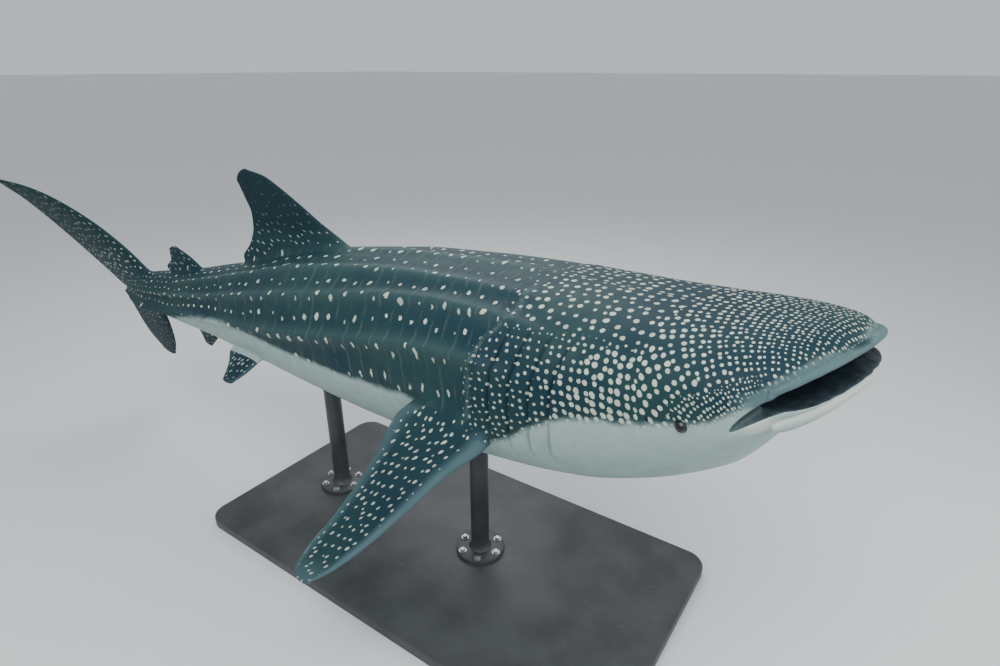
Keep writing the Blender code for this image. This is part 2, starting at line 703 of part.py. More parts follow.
def ball(name, centre, radii, forward, collection, material=None, segments=14, rings=8):
    """A sphere or an egg shape with its first radius along a direction."""
    turn = Vector(forward).to_track_quat("X", "Z").to_matrix().to_4x4()
    work = bmesh.new()
    matrix = Matrix.Translation(Vector(centre)) @ turn @ Matrix.Diagonal((*radii, 1.0))
    bmesh.ops.create_uvsphere(work, u_segments=segments, v_segments=rings, radius=1.0, matrix=matrix)
    mesh = bpy.data.meshes.new(name)
    work.to_mesh(mesh)
    work.free()
    mesh.shade_smooth()
    if material is not None:
        mesh.materials.append(material)
    obj = bpy.data.objects.new(name, mesh)
    collection.objects.link(obj)
    return obj


def head_parts(head, materials, collection, cutters):
    """Shapes the mouth, its lips and the eyes on the whole head, then parts the lower jaw from it."""
    lips = [lip_object("upper_lip", UPPER_LIP, cutters), lip_object("lower_lip", LOWER_LIP, cutters)]
    for lip in lips:
        boolean(head, lip, "UNION")
    for side in (-1, 1):
        press(head, side, NASAL_FLAP, "UNION", cutters)
    mouth = mouth_cutter(cutters)
    boolean(head, mouth, "DIFFERENCE")
    for side, word in ((-1, "right"), (1, "left")):
        eye(side, word, head, materials, collection, cutters)
        press(head, side, MOUTH_FOLD, "DIFFERENCE", cutters)
        for s, z, radius in (SPIRACLE, NOSTRIL):
            press(head, side, (s, z, radius, radius * 1.3, radius * 1.5), "DIFFERENCE", cutters)
    jaw = mesh_copy("lower_jaw", head, materials["pale_skin"], collection)
    half_gap = GAP / 2 / TOTAL_LENGTH
    low = (-0.03, -0.12, -0.12)
    jaw_side = block("jaw_side", low, (JAW_BACK_SHARE - half_gap, 0.12, JAW_TOP - half_gap), cutters)
    head_side = block("head_side", low, (JAW_BACK_SHARE + half_gap, 0.12, JAW_TOP + half_gap), cutters)
    boolean(jaw, jaw_side, "INTERSECT")
    boolean(head, head_side, "DIFFERENCE")
    for helper in (mouth, jaw_side, head_side, *lips):
        bpy.data.objects.remove(helper)
    for obj in (head, jaw):
        keep_largest(obj)


def press(obj, side, shape, operation, cutters):
    """Joins or cuts an egg shape centred on the flank: share back, height, then its three half sizes."""
    s, z, back, depth, height = shape
    radii = [half * TOTAL_LENGTH for half in (back, depth, height)]
    egg = ball("egg", place(s, side * flank_point(s, z), z), radii, along(SPINE[2], s), cutters)
    boolean(obj, egg, operation)
    bpy.data.objects.remove(egg)


def mesh_copy(name, source, material, collection):
    mesh = source.data.copy()
    mesh.name = name
    mesh.materials.clear()
    mesh.materials.append(material)
    obj = bpy.data.objects.new(name, mesh)
    collection.objects.link(obj)
    return obj


def eye(side, word, head, materials, collection, cutters):
    """An eyeball in its socket, with a raised rim round it."""
    s, z, radius = EYE
    size = radius * TOTAL_LENGTH
    way = along(SPINE[2], s)
    centre = place(s, side * (flank_point(s, z) - radius * 0.25), z)
    rim_centre = place(s, side * (flank_point(s, z) - radius * 1.1), z)
    rim = ball(f"rim_{word}", rim_centre, [size * 1.45] * 3, way, cutters)
    boolean(head, rim, "UNION")
    bpy.data.objects.remove(rim)
    socket = ball(f"socket_{word}", centre, [size + GAP] * 3, way, cutters)
    boolean(head, socket, "DIFFERENCE")
    bpy.data.objects.remove(socket)
    return ball(f"eye_{word}", centre, [size] * 3, way, collection, materials["eye"])


def stand_base(material, collection):
    """A flat plate with rounded corners and softened edges, resting on the floor."""
    long, wide, thick = BASE_SIZE
    curve = bpy.data.curves.new("stand_base", "CURVE")
    curve.dimensions = "2D"
    curve.fill_mode = "BOTH"
    curve.extrude = thick / 2 - BASE_EDGE
    curve.bevel_depth = BASE_EDGE
    curve.bevel_resolution = 1
    curve.offset = -BASE_EDGE
    corners = []
    for turn, (sx, sy) in enumerate(((1, 1), (-1, 1), (-1, -1), (1, -1))):
        for step in range(7):
            a = pi / 2 * (turn + step / 6)
            x = sx * (long / 2 - BASE_CORNER) + BASE_CORNER * cos(a)
            y = sy * (wide / 2 - BASE_CORNER) + BASE_CORNER * sin(a)
            corners.append((x, y))
    spline = curve.splines.new("POLY")
    spline.points.add(len(corners) - 1)
    for point, (x, y) in zip(spline.points, corners):
        point.co = (x, y, 0.0, 1.0)
    spline.use_cyclic_u = True
    plate = bpy.data.objects.new("plate_outline", curve)
    collection.objects.link(plate)
    plate.location = (0.0, 0.0, thick / 2)
    bpy.context.view_layer.update()
    mesh = bpy.data.meshes.new_from_object(plate.evaluated_get(bpy.context.evaluated_depsgraph_get()))
    mesh.transform(plate.matrix_world)
    bpy.data.objects.remove(plate)
    work = bmesh.new()
    work.from_mesh(mesh)
    bmesh.ops.remove_doubles(work, verts=work.verts, dist=0.00005)
    bmesh.ops.recalc_face_normals(work, faces=work.faces)
    work.to_mesh(mesh)
    work.free()
    obj = bpy.data.objects.new("stand_base", mesh)
    collection.objects.link(obj)
    mesh.materials.clear()
    mesh.materials.append(material)
    return obj


def stand_rod(name, share, material, collection, cutter):
    """A turned rod with a foot flange and a flared cup, cut to the belly it carries."""
    foot = BASE_SIZE[2] + GAP
    _, middle, _, drop, _ = body_sizes(share)
    top = place(share, 0.0, middle - drop * 0.6)
    low = place(share, 0.0, middle - drop)[2]
    cup = low - CUP_HEIGHT
    profile = (
        (0.0, top[2]),
        (CUP_RADIUS, top[2]),
        (CUP_RADIUS, low - 0.01),
        (ROD_RADIUS * 1.25, cup),
        (ROD_RADIUS, cup - 0.05),
        (ROD_RADIUS, foot + FLANGE_THICKNESS + 0.05),
        (ROD_RADIUS * 1.2, foot + FLANGE_THICKNESS),
        (FLANGE_RADIUS - 0.006, foot + FLANGE_THICKNESS),
        (FLANGE_RADIUS, foot + FLANGE_THICKNESS - 0.006),
        (FLANGE_RADIUS, foot),
        (0.0, foot),
    )
    mesh = bpy.data.meshes.new(name)
    mesh.from_pydata([(r, 0.0, z) for r, z in profile], [(i, i + 1) for i in range(len(profile) - 1)], [])
    obj = bpy.data.objects.new(name, mesh)
    collection.objects.link(obj)
    screw = obj.modifiers.new("turn", "SCREW")
    screw.steps = screw.render_steps = ROUND_STEPS
    screw.use_merge_vertices = True
    screw.merge_threshold = 0.0001
    screw.use_smooth_shade = False
    bpy.context.view_layer.update()
    turned = bpy.data.meshes.new_from_object(obj.evaluated_get(bpy.context.evaluated_depsgraph_get()))
    obj.modifiers.clear()
    obj.data = turned
    bpy.data.meshes.remove(mesh)
    turned.transform(Matrix.Translation((top[0], top[1], 0.0)))
    turned.materials.append(material)
    boolean(obj, cutter, "DIFFERENCE")
    keep_largest(obj)
    return obj


def main():
    clear_scene()
    materials = make_materials()
    shark = bpy.data.collections.new("whale_shark")
    cutters = bpy.data.collections.new("cutters")
    for collection in (shark, cutters):
        bpy.context.scene.collection.children.link(collection)
    cutter = body_piece("body_space", 0.0, BODY_END_SHARE, None, cutters, grow=GAP)
    cutter.hide_render = True
    cutter.display_type = "WIRE"
    pieces = {}
    for name, start, end in BODY_PIECES:
        pieces[name] = body_piece(name, start, end, materials["back_skin"], shark)
    head_parts(pieces["head"], materials, shark, cutters)
    part_tail_lobes(fins(materials, shark, cutter), cutters)
    stand_base(materials["stand_steel"], shark)
    for word, share in zip(("front", "rear"), ROD_SHARES):
        stand_rod(f"stand_rod_{word}", share, materials["stand_steel"], shark, cutter)


main()
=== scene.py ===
# A life-size whale shark, swimming with its mouth open, on a plain display stand.
from contextlib import contextmanager
from math import cos, pi, radians, sin
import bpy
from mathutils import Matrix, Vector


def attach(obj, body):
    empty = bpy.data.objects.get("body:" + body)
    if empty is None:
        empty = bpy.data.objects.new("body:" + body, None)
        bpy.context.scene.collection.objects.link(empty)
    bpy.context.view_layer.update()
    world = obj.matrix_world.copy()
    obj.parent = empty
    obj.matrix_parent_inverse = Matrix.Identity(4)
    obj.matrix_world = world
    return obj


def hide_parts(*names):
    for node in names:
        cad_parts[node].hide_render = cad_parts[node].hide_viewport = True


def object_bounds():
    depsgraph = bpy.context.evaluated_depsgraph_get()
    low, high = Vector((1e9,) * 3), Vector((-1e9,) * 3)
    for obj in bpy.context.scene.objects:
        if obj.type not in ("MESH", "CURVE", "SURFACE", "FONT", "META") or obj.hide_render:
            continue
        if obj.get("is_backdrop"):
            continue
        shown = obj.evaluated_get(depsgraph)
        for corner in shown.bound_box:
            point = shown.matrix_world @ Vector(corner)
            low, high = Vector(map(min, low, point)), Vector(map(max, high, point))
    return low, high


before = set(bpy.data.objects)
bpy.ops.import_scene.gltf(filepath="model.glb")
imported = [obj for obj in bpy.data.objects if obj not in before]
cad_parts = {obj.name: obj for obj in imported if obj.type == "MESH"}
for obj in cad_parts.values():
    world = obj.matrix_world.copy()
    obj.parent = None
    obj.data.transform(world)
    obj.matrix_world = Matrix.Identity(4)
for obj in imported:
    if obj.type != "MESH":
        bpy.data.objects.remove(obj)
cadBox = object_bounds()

from types import SimpleNamespace

import bmesh
import bpy
import numpy as np
from mathutils import Matrix, Vector
from mathutils.bvhtree import BVHTree
from mathutils.kdtree import KDTree

workshop = bpy.data.collections.new("workshop")  # holds shapes only while they are joined
bpy.context.scene.collection.children.link(workshop)

# What the whole animal is drawn from. Plain numbers are shares of its length; angles are in degrees.
shark = {
    "length": 6.5,
    "snout": (2.02, -0.208, 1.95),
    "spineAt": (0.0, 0.06, 0.20, 0.45, 0.70, 1.0),
    "turnRight": (20.5, 11.6, 4.5, -2.5, -4.0, -4.0),
    "noseUp": (14.5, 14.3, 13.5, 7.5, 2.5, 4.0),
    "rollAt": (0.0, 0.13, 0.50, 0.85, 1.0),
    "roll": (-4.5, 0.0, 0.0, -17.0, -17.0),
    # share back, half width, height of the widest line, of the back and of the belly
    "outline": (
        (0.000, 0.073, -0.010, 0.0135, -0.0225),
        (0.025, 0.073, -0.011, 0.0180, -0.034),
        (0.060, 0.075, -0.013, 0.0240, -0.058),
        (0.110, 0.081, -0.016, 0.0330, -0.0775),
        (0.160, 0.086, -0.016, 0.043, -0.0875),
        (0.210, 0.088, -0.014, 0.052, -0.090),
        (0.280, 0.085, -0.010, 0.063, -0.088),
        (0.360, 0.078, -0.004, 0.072, -0.078),
        (0.450, 0.068, 0.002, 0.074, -0.061),
        (0.540, 0.055, 0.006, 0.061, -0.044),
        (0.620, 0.042, 0.006, 0.047, -0.032),
        (0.700, 0.030, 0.003, 0.034, -0.026),
        (0.750, 0.023, 0.001, 0.027, -0.022),
        (0.780, 0.017, 0.000, 0.022, -0.019),
        (0.810, 0.008, 0.000, 0.013, -0.013),
    ),
    "bodyEnd": 0.810,
    "squareAt": (0.0, 0.12, 0.25, 0.80), "square": (2.7, 2.5, 2.15, 2.0),
    "snoutLength": 0.085, "snoutSquare": 2.4,
    "snoutRound": (0.018, 2.2), "chinRound": (0.060, 1.6),  # length and squareness seen from the side
    # how finely the body is made: points round it, rings of the nose, and steps between the others
    "flankPoints": 70, "bellyPoints": 17, "flankEnd": 120,
    "noseRings": 36, "flaps": (0.136, 0.250), "throatStep": 0.0022, "flapStep": 0.00125,
    "trunkStart": 0.2515, "trunkStep": 0.0033,
}

# The ridges along the flank, the keel that the lowest one grows into, and the ridge along the back.
ridges = {
    "columns": (31.0, 57.0, 84.0), "lastColumns": (125.0, 180.0),
    "trackAt": (0.0, 0.10, 0.26, 0.38, 0.50, 0.72, 0.81),
    "tracks": (
        (31.0, 31.0, 23.0, 26.0, 31.0, 34.0, 34.0),
        (57.0, 57.0, 40.0, 48.0, 56.0, 60.0, 60.0),
        (84.0, 84.0, 68.0, 75.0, 84.0, 90.0, 90.0),
    ),
    "heights": (0.0034, 0.0044, 0.0048),
    "runs": ((0.22, 0.66), (0.18, 0.73), (0.20, 0.70)),
    "backHeight": 0.0028, "backRun": (0.22, 0.44),
    "width": 4.2, "ease": 0.04,
    "keelHeight": 0.011, "keelWidth": 7.5, "keelRun": (0.62, 0.74, 0.81), "keelFade": 0.7,
}

# Where a run is given by four numbers, it rises between the first two and falls between the last two.
gills = {
    "count": 5, "first": 0.151, "pitch": 0.0165,
    "lift": 0.0022, "flapRun": 0.75, "flapCurve": 1.5,
    "depth": 0.0042, "width": 0.0017, "roundness": 0.8,
    "angles": (44.0, 62.0, 108.0, 122.0),
    "slant": 0.022, "slantRun": (0.1375, 0.2405, 0.0165),
    # the last flap's edge, which ends the swollen part of the head
    "foldAngle": (0.0, 22.0, 42.0, 57.0, 70.0, 93.0, 105.0, 180.0),
    "foldBack": (0.196, 0.194, 0.190, 0.208, 0.214, 0.222, 0.232, 0.240),
    "foldLift": 0.0013, "foldRun": (-0.060, -0.004, -0.001, 0.007), "foldAngles": (8.0, 30.0, 112.0, 130.0),
}


def smoothCurve(knots, values, at):
    # a curve through the values that doesn't overshoot between its knots
    x, y = np.asarray(knots, float), np.asarray(values, float)
    at = np.clip(np.asarray(at, float), x[0], x[-1])
    step = np.diff(x)
    slope = np.diff(y) / step
    tangent = np.zeros(len(x))
    tangent[0], tangent[-1] = slope[0], slope[-1]
    for i in range(1, len(x) - 1):
        if slope[i - 1] * slope[i] > 0:
            tangent[i] = 2 * slope[i - 1] * slope[i] / (slope[i - 1] + slope[i])
    i = np.clip(np.searchsorted(x, at, side="right") - 1, 0, len(step) - 1)
    t = (at - x[i]) / step[i]
    return (
        (2 * t**3 - 3 * t**2 + 1) * y[i]
        + (t**3 - 2 * t**2 + t) * step[i] * tangent[i]
        + (3 * t**2 - 2 * t**3) * y[i + 1]
        + (t**3 - t**2) * step[i] * tangent[i + 1]
    )


def rowCurves(rows, at):
    # the columns of a table as curves over its first column
    knots, *columns = np.array(rows, float).T
    return [smoothCurve(knots, column, at) for column in columns]


def evenCurves(rows, at):
    # the columns of a table as curves over even steps from 0 to 1
    columns = np.atleast_2d(np.array(rows, float).T)
    return [smoothCurve(np.linspace(0, 1, len(rows)), column, at) for column in columns]


def smoothStep(low, high, x):
    t = np.clip((np.asarray(x, float) - low) / (high - low), 0.0, 1.0)
    return t * t * (3 - 2 * t)


def hill(start, full, ease, end, x):
    return smoothStep(start, full, x) * (1 - smoothStep(ease, end, x))


def runOf(start, end, ease, s):
    return hill(start - ease, start + ease, end - ease, end + ease, s)


def bump(away, width):
    return np.exp(-((away / width) ** 2))


def signedPower(values, power):
    return np.sign(values) * np.abs(values) ** power


def makeSpine(steps=400):
    # points and unit vectors (forward, left, up) at even shares of the length
    at = np.linspace(0.0, 1.0, steps + 1)
    yaw = np.radians(smoothCurve(shark["spineAt"], shark["turnRight"], at))
    pitch = np.radians(smoothCurve(shark["spineAt"], shark["noseUp"], at))
    roll = np.radians(smoothCurve(shark["rollAt"], shark["roll"], at))
    forward = np.stack([np.cos(yaw) * np.cos(pitch), -np.sin(yaw) * np.cos(pitch), np.sin(pitch)], 1)
    middle = (forward[1:] + forward[:-1]) / 2
    points = np.vstack([np.zeros(3), -np.cumsum(middle * shark["length"] / steps, axis=0)])
    points += np.array(shark["snout"])
    left = np.cross(np.array([0.0, 0.0, 1.0]), forward)
    left /= np.linalg.norm(left, axis=1)[:, None]
    up = np.cross(forward, left)
    rolledUp = up * np.cos(roll)[:, None] + left * np.sin(roll)[:, None]
    rolledLeft = left * np.cos(roll)[:, None] - up * np.sin(roll)[:, None]
    return at, points, forward, rolledLeft, rolledUp


spine = makeSpine()
span = shark["length"]


def along(table, s):
    return np.stack([np.interp(s, spine[0], table[:, i]) for i in range(3)], -1)


def place(s, y, z):
    # world points from s back from the snout, y to the left and z above the spine
    s, y, z = np.broadcast_arrays(*(np.asarray(v, float) for v in (s, y, z)))
    points = along(spine[1], s) - along(spine[2], s) * (np.minimum(s, 0.0) * span)[..., None]
    return points + along(spine[3], s) * (y * span)[..., None] + along(spine[4], s) * (z * span)[..., None]


def unplace(points, chunk=4000):
    # the way back: s, y and z of world points
    at, origin, forward, left, up = spine
    offset = (origin * forward).sum(1)
    s = np.empty(len(points))
    for i in range(0, len(points), chunk):
        ahead = points[i : i + chunk] @ forward.T - offset
        behind = ahead < 0
        last = np.clip(len(at) - 1 - np.argmax(behind[:, ::-1], axis=1), 0, len(at) - 2)
        last = np.where(behind.any(1), last, 0)
        rows = np.arange(len(last))
        a, b = ahead[rows, last], ahead[rows, last + 1]
        found = at[last] + (at[1] - at[0]) * np.clip(-a / (b - a), 0, 1)
        s[i : i + chunk] = np.where(ahead[:, 0] > 0, -ahead[:, 0] / span, found)
    base = place(s, 0.0, 0.0)
    y = ((points - base) * along(left, s)).sum(1) / span
    z = ((points - base) * along(up, s)).sum(1) / span
    return s, y, z


def noseShare(s, length, power):
    t = np.clip(1 - np.asarray(s, float) / length, 0.0, 1.0)
    return (1 - t**power) ** (1 / power)


def bodySizes(s):
    # half width, height of the widest line, rise to the back, drop to the belly, and squareness
    wide, middle, back, belly = rowCurves(shark["outline"], s)
    wide = wide * noseShare(s, shark["snoutLength"], shark["snoutSquare"])
    rise = (back - middle) * noseShare(s, *shark["snoutRound"])
    drop = (middle - belly) * noseShare(s, *shark["chinRound"])
    return wide, middle, rise, drop, smoothCurve(shark["squareAt"], shark["square"], s)


def sectionAt(s, angles):
    # how far out and above the widest line a section's points lie, and that line's height
    wide, middle, rise, drop, power = bodySizes(s)
    across, upright = (signedPower(way, 2 / power) for way in (np.sin(angles), np.cos(angles)))
    return wide * across, np.where(upright > 0, rise, drop) * upright, middle


def gillShift(s, angle):
    return -gills["slant"] * np.cos(np.radians(angle)) * runOf(*gills["slantRun"], s)


def gillRelief(s, angle):
    # height of the flaps above the plain flank, with the slits below it
    relief = np.zeros(np.broadcast(s, angle).shape)
    flap = gills["pitch"] * gills["flapRun"]
    for i in range(gills["count"]):
        edge = gills["first"] + i * gills["pitch"]
        behind = s > edge + 1e-6
        rise = np.clip((s - edge + flap) / flap, 0, 1) * (1 - behind)
        slit = bump(s - edge - gills["width"], gills["width"] * gills["roundness"])
        relief = relief + gills["lift"] * rise ** gills["flapCurve"] - gills["depth"] * slit * behind
    return relief * hill(*gills["angles"], angle)


def foldLine(angle):
    return np.interp(angle, gills["foldAngle"], gills["foldBack"])


def foldRelief(s, angle):
    back = foldLine(angle)
    rise = hill(*(back + step for step in gills["foldRun"]), s)
    return gills["foldLift"] * rise * hill(*gills["foldAngles"], angle)


def ridgeAngles(s):
    return [smoothCurve(ridges["trackAt"], track, s) for track in ridges["tracks"]]


def ridgeRun(ends, s):
    return runOf(*ends, ridges["ease"], s)


def bodyRing(s, columns):
    # world points round one section, from the middle of the back, right side first
    tracks = [float(track) for track in ridgeAngles(s)]
    last = ridges["lastColumns"]
    knots = (0.0, *ridges["columns"], *last)
    flank = smoothCurve(knots, (0.0, *tracks, *last), np.minimum(columns, 360 - columns))
    station = s + gillShift(s, flank)
    out, z, middle = sectionAt(station, np.radians(np.where(columns > 180, 360 - flank, flank)))
    start, full, end = ridges["keelRun"]
    keel = smoothStep(start, full, s) * (1 - ridges["keelFade"] * smoothStep(full, end, s))
    width = ridges["width"]
    lift = gillRelief(s, flank) + foldRelief(station, flank)
    lift = lift + ridges["backHeight"] * bump(flank, width) * ridgeRun(ridges["backRun"], s)
    lift = lift + ridges["keelHeight"] * keel * bump(flank - tracks[2], ridges["keelWidth"])
    for track, height, ends in zip(tracks, ridges["heights"], ridges["runs"]):
        lift = lift + height * bump(flank - track, width) * ridgeRun(ends, s)
    scale = 1 + lift / (np.hypot(out, z) + 1e-9)
    return place(station, -out * scale, middle + z * scale)


def addObject(name, data, collection=None):
    obj = bpy.data.objects.new(name, data)
    (collection or bpy.context.scene.collection).objects.link(obj)
    return obj


@contextmanager
def editing(mesh):
    work = bmesh.new()
    work.from_mesh(mesh)
    yield work
    work.to_mesh(mesh)
    work.free()


def meshFrom(name, points, faces, slot=0):
    mesh = bpy.data.meshes.new(name)
    mesh.from_pydata(np.asarray(points).tolist(), [], faces)
    with editing(mesh) as work:
        bmesh.ops.recalc_face_normals(work, faces=work.faces)
        for face in work.faces:
            face.smooth = True
            face.material_index = slot
    for paint in ("outside", "inside"):
        mesh.materials.append(bpy.data.materials.get(paint) or bpy.data.materials.new(paint))
    return addObject(name, mesh, workshop)


def loft(name, rings, first=None, last=None, slot=0):
    # a closed shape through rings of points, with a fan at each end
    rings = np.asarray(rings)
    count, around = rings.shape[:2]
    ends = [rings[0].mean(0) if first is None else first, rings[-1].mean(0) if last is None else last]
    points = np.vstack([rings.reshape(-1, 3), *ends])
    i, j = np.meshgrid(np.arange(count - 1), np.arange(around), indexing="ij")
    k = (j + 1) % around
    quads = np.stack([i * around + j, (i + 1) * around + j, (i + 1) * around + k, i * around + k], -1)
    faces = quads.reshape(-1, 4).tolist()
    for j in range(around):
        k = (j + 1) % around
        faces.append((count * around, j, k))
        faces.append((count * around + 1, (count - 1) * around + k, (count - 1) * around + j))
    return meshFrom(name, points, faces, slot)


def bodyShape():
    flankEnd, step, end = shark["flankEnd"], shark["throatStep"], shark["bodyEnd"]
    flank = np.linspace(0, flankEnd, shark["flankPoints"])[:-1]
    half = np.concatenate([flank, np.linspace(flankEnd, 180, shark["bellyPoints"])])
    columns = np.concatenate([half, 360 - half[-2:0:-1]])
    nose = shark["snoutLength"] * (1 - np.cos(np.radians(np.linspace(3, 88, shark["noseRings"]))))
    flapStart, flapEnd = shark["flaps"]
    throat = np.arange(nose[-1] + step, flapStart, step)
    flaps = np.arange(flapStart, flapEnd, shark["flapStep"])
    trunk = np.arange(shark["trunkStart"], end, shark["trunkStep"])
    rings = [bodyRing(s, columns) for s in (*nose, *throat, *flaps, *trunk, end)]
    return loft("body", rings, place(0.0, 0.0, shark["outline"][0][2]), place(end + 0.004, 0.0, 0.0))


# Fins: leading and trailing edges from the sunk root out. Middle fins: (share back, share up).
middleFins = {
    "dorsalFirst": {
        "lead": ((0.405, 0.060), (0.427, 0.083), (0.450, 0.099), (0.473, 0.1155), (0.498, 0.132),
                 (0.520, 0.144), (0.540, 0.1495)),
        "trail": ((0.550, 0.038), (0.5755, 0.060), (0.560, 0.077), (0.550, 0.094), (0.548, 0.109),
                  (0.552, 0.122), (0.557, 0.137)),
        "thickness": (0.026, 0.020, 0.016, 0.013, 0.011, 0.009, 0.007),
        "tip": 0.006, "flare": 0.020,
    },
    "dorsalSecond": {
        "lead": ((0.636, 0.028), (0.650, 0.044), (0.664, 0.057), (0.679, 0.066)),
        "trail": ((0.682, 0.018), (0.711, 0.038), (0.698, 0.050), (0.694, 0.061)),
        "thickness": (0.013, 0.010, 0.007, 0.005),
        "tip": 0.003, "flare": 0.009,
    },
    "anal": {
        "lead": ((0.642, -0.022), (0.656, -0.037), (0.671, -0.051), (0.687, -0.063)),
        "trail": ((0.682, -0.014), (0.710, -0.034), (0.702, -0.046), (0.701, -0.059)),
        "thickness": (0.012, 0.009, 0.007, 0.005),
        "tip": 0.003, "flare": 0.009,
    },
    "tailUpper": {
        "lead": ((0.743, 0.006), (0.762, 0.042), (0.787, 0.071), (0.816, 0.095), (0.851, 0.114),
                 (0.892, 0.128), (0.933, 0.136), (0.968, 0.140)),
        "trail": ((0.790, -0.008), (0.825, -0.001), (0.843, 0.018), (0.862, 0.040), (0.884, 0.064),
                  (0.909, 0.089), (0.938, 0.114), (0.970, 0.133)),
        "thickness": (0.022, 0.021, 0.019, 0.016, 0.013, 0.010, 0.008, 0.006),
        "tip": 0.006, "flare": 0.008,
    },
    "tailLower": {
        "lead": ((0.748, -0.004), (0.766, -0.030), (0.774, -0.058), (0.787, -0.084), (0.806, -0.106)),
        "trail": ((0.790, 0.004), (0.829, -0.008), (0.839, -0.038), (0.842, -0.072), (0.833, -0.102)),
        "thickness": (0.020, 0.016, 0.012, 0.009, 0.006),
        "tip": 0.006, "flare": 0.008,
    },
}

# Paired fins: where the root's front lies, two directions as (back, out, down), and edges along them.
pairedFins = {
    "pectoral": {
        "root": (0.206, 0.086, -0.050),
        "chordWay": (0.95, 0.22, -0.22),
        "spanWay": (0.073, 0.529, 0.845),
        "lead": ((-0.004, -0.030), (0.008, 0.000), (0.030, 0.0245), (0.053, 0.055), (0.077, 0.086),
                 (0.099, 0.110), (0.116, 0.124)),
        "trail": ((0.050, -0.036), (0.083, -0.004), (0.088, 0.018), (0.099, 0.048), (0.113, 0.078),
                  (0.1245, 0.098), (0.131, 0.114)),
        "thickness": (0.024, 0.021, 0.017, 0.014, 0.011, 0.009, 0.007),
        "tip": 0.007, "flare": 0.018,
    },
    "pelvic": {
        "root": (0.505, 0.044, -0.018),
        "chordWay": (0.99, 0.05, 0.05),
        "spanWay": (0.30, 0.66, 0.72),
        "lead": ((-0.004, -0.012), (0.006, 0.010), (0.014, 0.026), (0.024, 0.038)),
        "trail": ((0.040, -0.012), (0.060, 0.000), (0.049, 0.018), (0.043, 0.034)),
        "thickness": (0.011, 0.009, 0.006, 0.005),
        "tip": 0.003, "flare": 0.008,
    },
}

# How the fins are made. The section's numbers are those of a plain four-digit wing.
finMake = {
    "rows": 46, "tipTurns": 7, "chord": 22, "edge": 0.0045, "flareReach": 0.030,
    "section": (0.2969, -0.1260, -0.3516, 0.2843, -0.1036), "sectionScale": 2.47,
}


def finRows(spec):
    # rows of (front, back, thickness) from the sunk root to the rounded tip
    t = np.linspace(0, 1, finMake["rows"])
    front, back = (np.stack(evenCurves(spec[edge], t), 1) for edge in ("lead", "trail"))
    thick = evenCurves(spec["thickness"], t)[0]
    rows = list(zip(front, back, thick))
    outward = front[-1] + back[-1] - front[-3] - back[-3]
    outward /= np.linalg.norm(outward)
    middle, half = (front[-1] + back[-1]) / 2, (back[-1] - front[-1]) / 2
    for turn in np.radians(np.linspace(0, 86, finMake["tipTurns"] + 1)[1:]):
        tip = middle + outward * sin(turn) * spec["tip"]
        rows.append((tip - half * cos(turn), tip + half * cos(turn), thick[-1] * cos(turn)))
    return rows


def finShape(name, rows, toWorld):
    # each row is a closed section: thickest forward, thin behind, round at both edges
    chord = (1 - np.cos(np.linspace(0, pi, finMake["chord"]))) / 2
    a, b, c, d, e = finMake["section"]
    profile = a * np.sqrt(chord) + b * chord + c * chord**2 + d * chord**3 + e * chord**4
    rings = []
    for front, back, thick in rows:
        half = thick * profile * finMake["sectionScale"]
        edge = finMake["edge"] / 2 / span * np.sqrt(1 - np.clip(2 * chord - 1, 0, 1) ** 8)
        half = np.where(chord > 0.5, np.maximum(half, edge), half)
        line = front + (back - front) * chord[:, None]
        upper = toWorld(line[:, 0], line[:, 1], half)
        lower = toWorld(line[:, 0], line[:, 1], -half)
        rings.append(np.vstack([upper, lower[-2:0:-1]]))
    return loft(name, rings)


def pairedWays(spec, side):
    # the root's front in the world, and the ways along the chord, along the span and off the fin's plane
    s, y, z = spec["root"]
    forward, left, up = (along(spine[i], s) for i in (2, 3, 4))
    ways = []
    for key in ("chordWay", "spanWay"):
        back, out, down = spec[key]
        way = -forward * back + left * out * side - up * down
        ways.append(way / np.linalg.norm(way))
    normal = np.cross(*ways) * -side
    return place(s, y * side, z), *ways, normal / np.linalg.norm(normal)


def flareRoot(obj, tree, flare):
    # the fin thickens as it nears the body, so that it grows out of it
    normals = [v.normal.copy() for v in obj.data.vertices]
    for vertex, normal in zip(obj.data.vertices, normals):
        spot, outward, _, away = tree.find_nearest(vertex.co)
        if (vertex.co - spot).dot(outward) < 0:
            away = 0.0
        vertex.co += normal * flare * np.exp(-away / finMake["flareReach"])


def finShapes(bodyTree):
    made = []
    for name, spec in middleFins.items():
        made.append((finShape(name, finRows(spec), lambda s, z, y: place(s, y, z)), spec["flare"]))
    for name, spec in pairedFins.items():
        for side, word in ((-1, "Right"), (1, "Left")):
            origin, chord, spanWay, normal = pairedWays(spec, side)

            def toWorld(back, out, half):
                back, out, half = (np.asarray(v)[..., None] * span for v in (back, out, half))
                return origin + chord * back + spanWay * out + normal * half

            made.append((finShape(name + word, finRows(spec), toWorld), spec["flare"]))
    for obj, flare in made:
        flareRoot(obj, bodyTree, flare)
    return [obj for obj, flare in made]


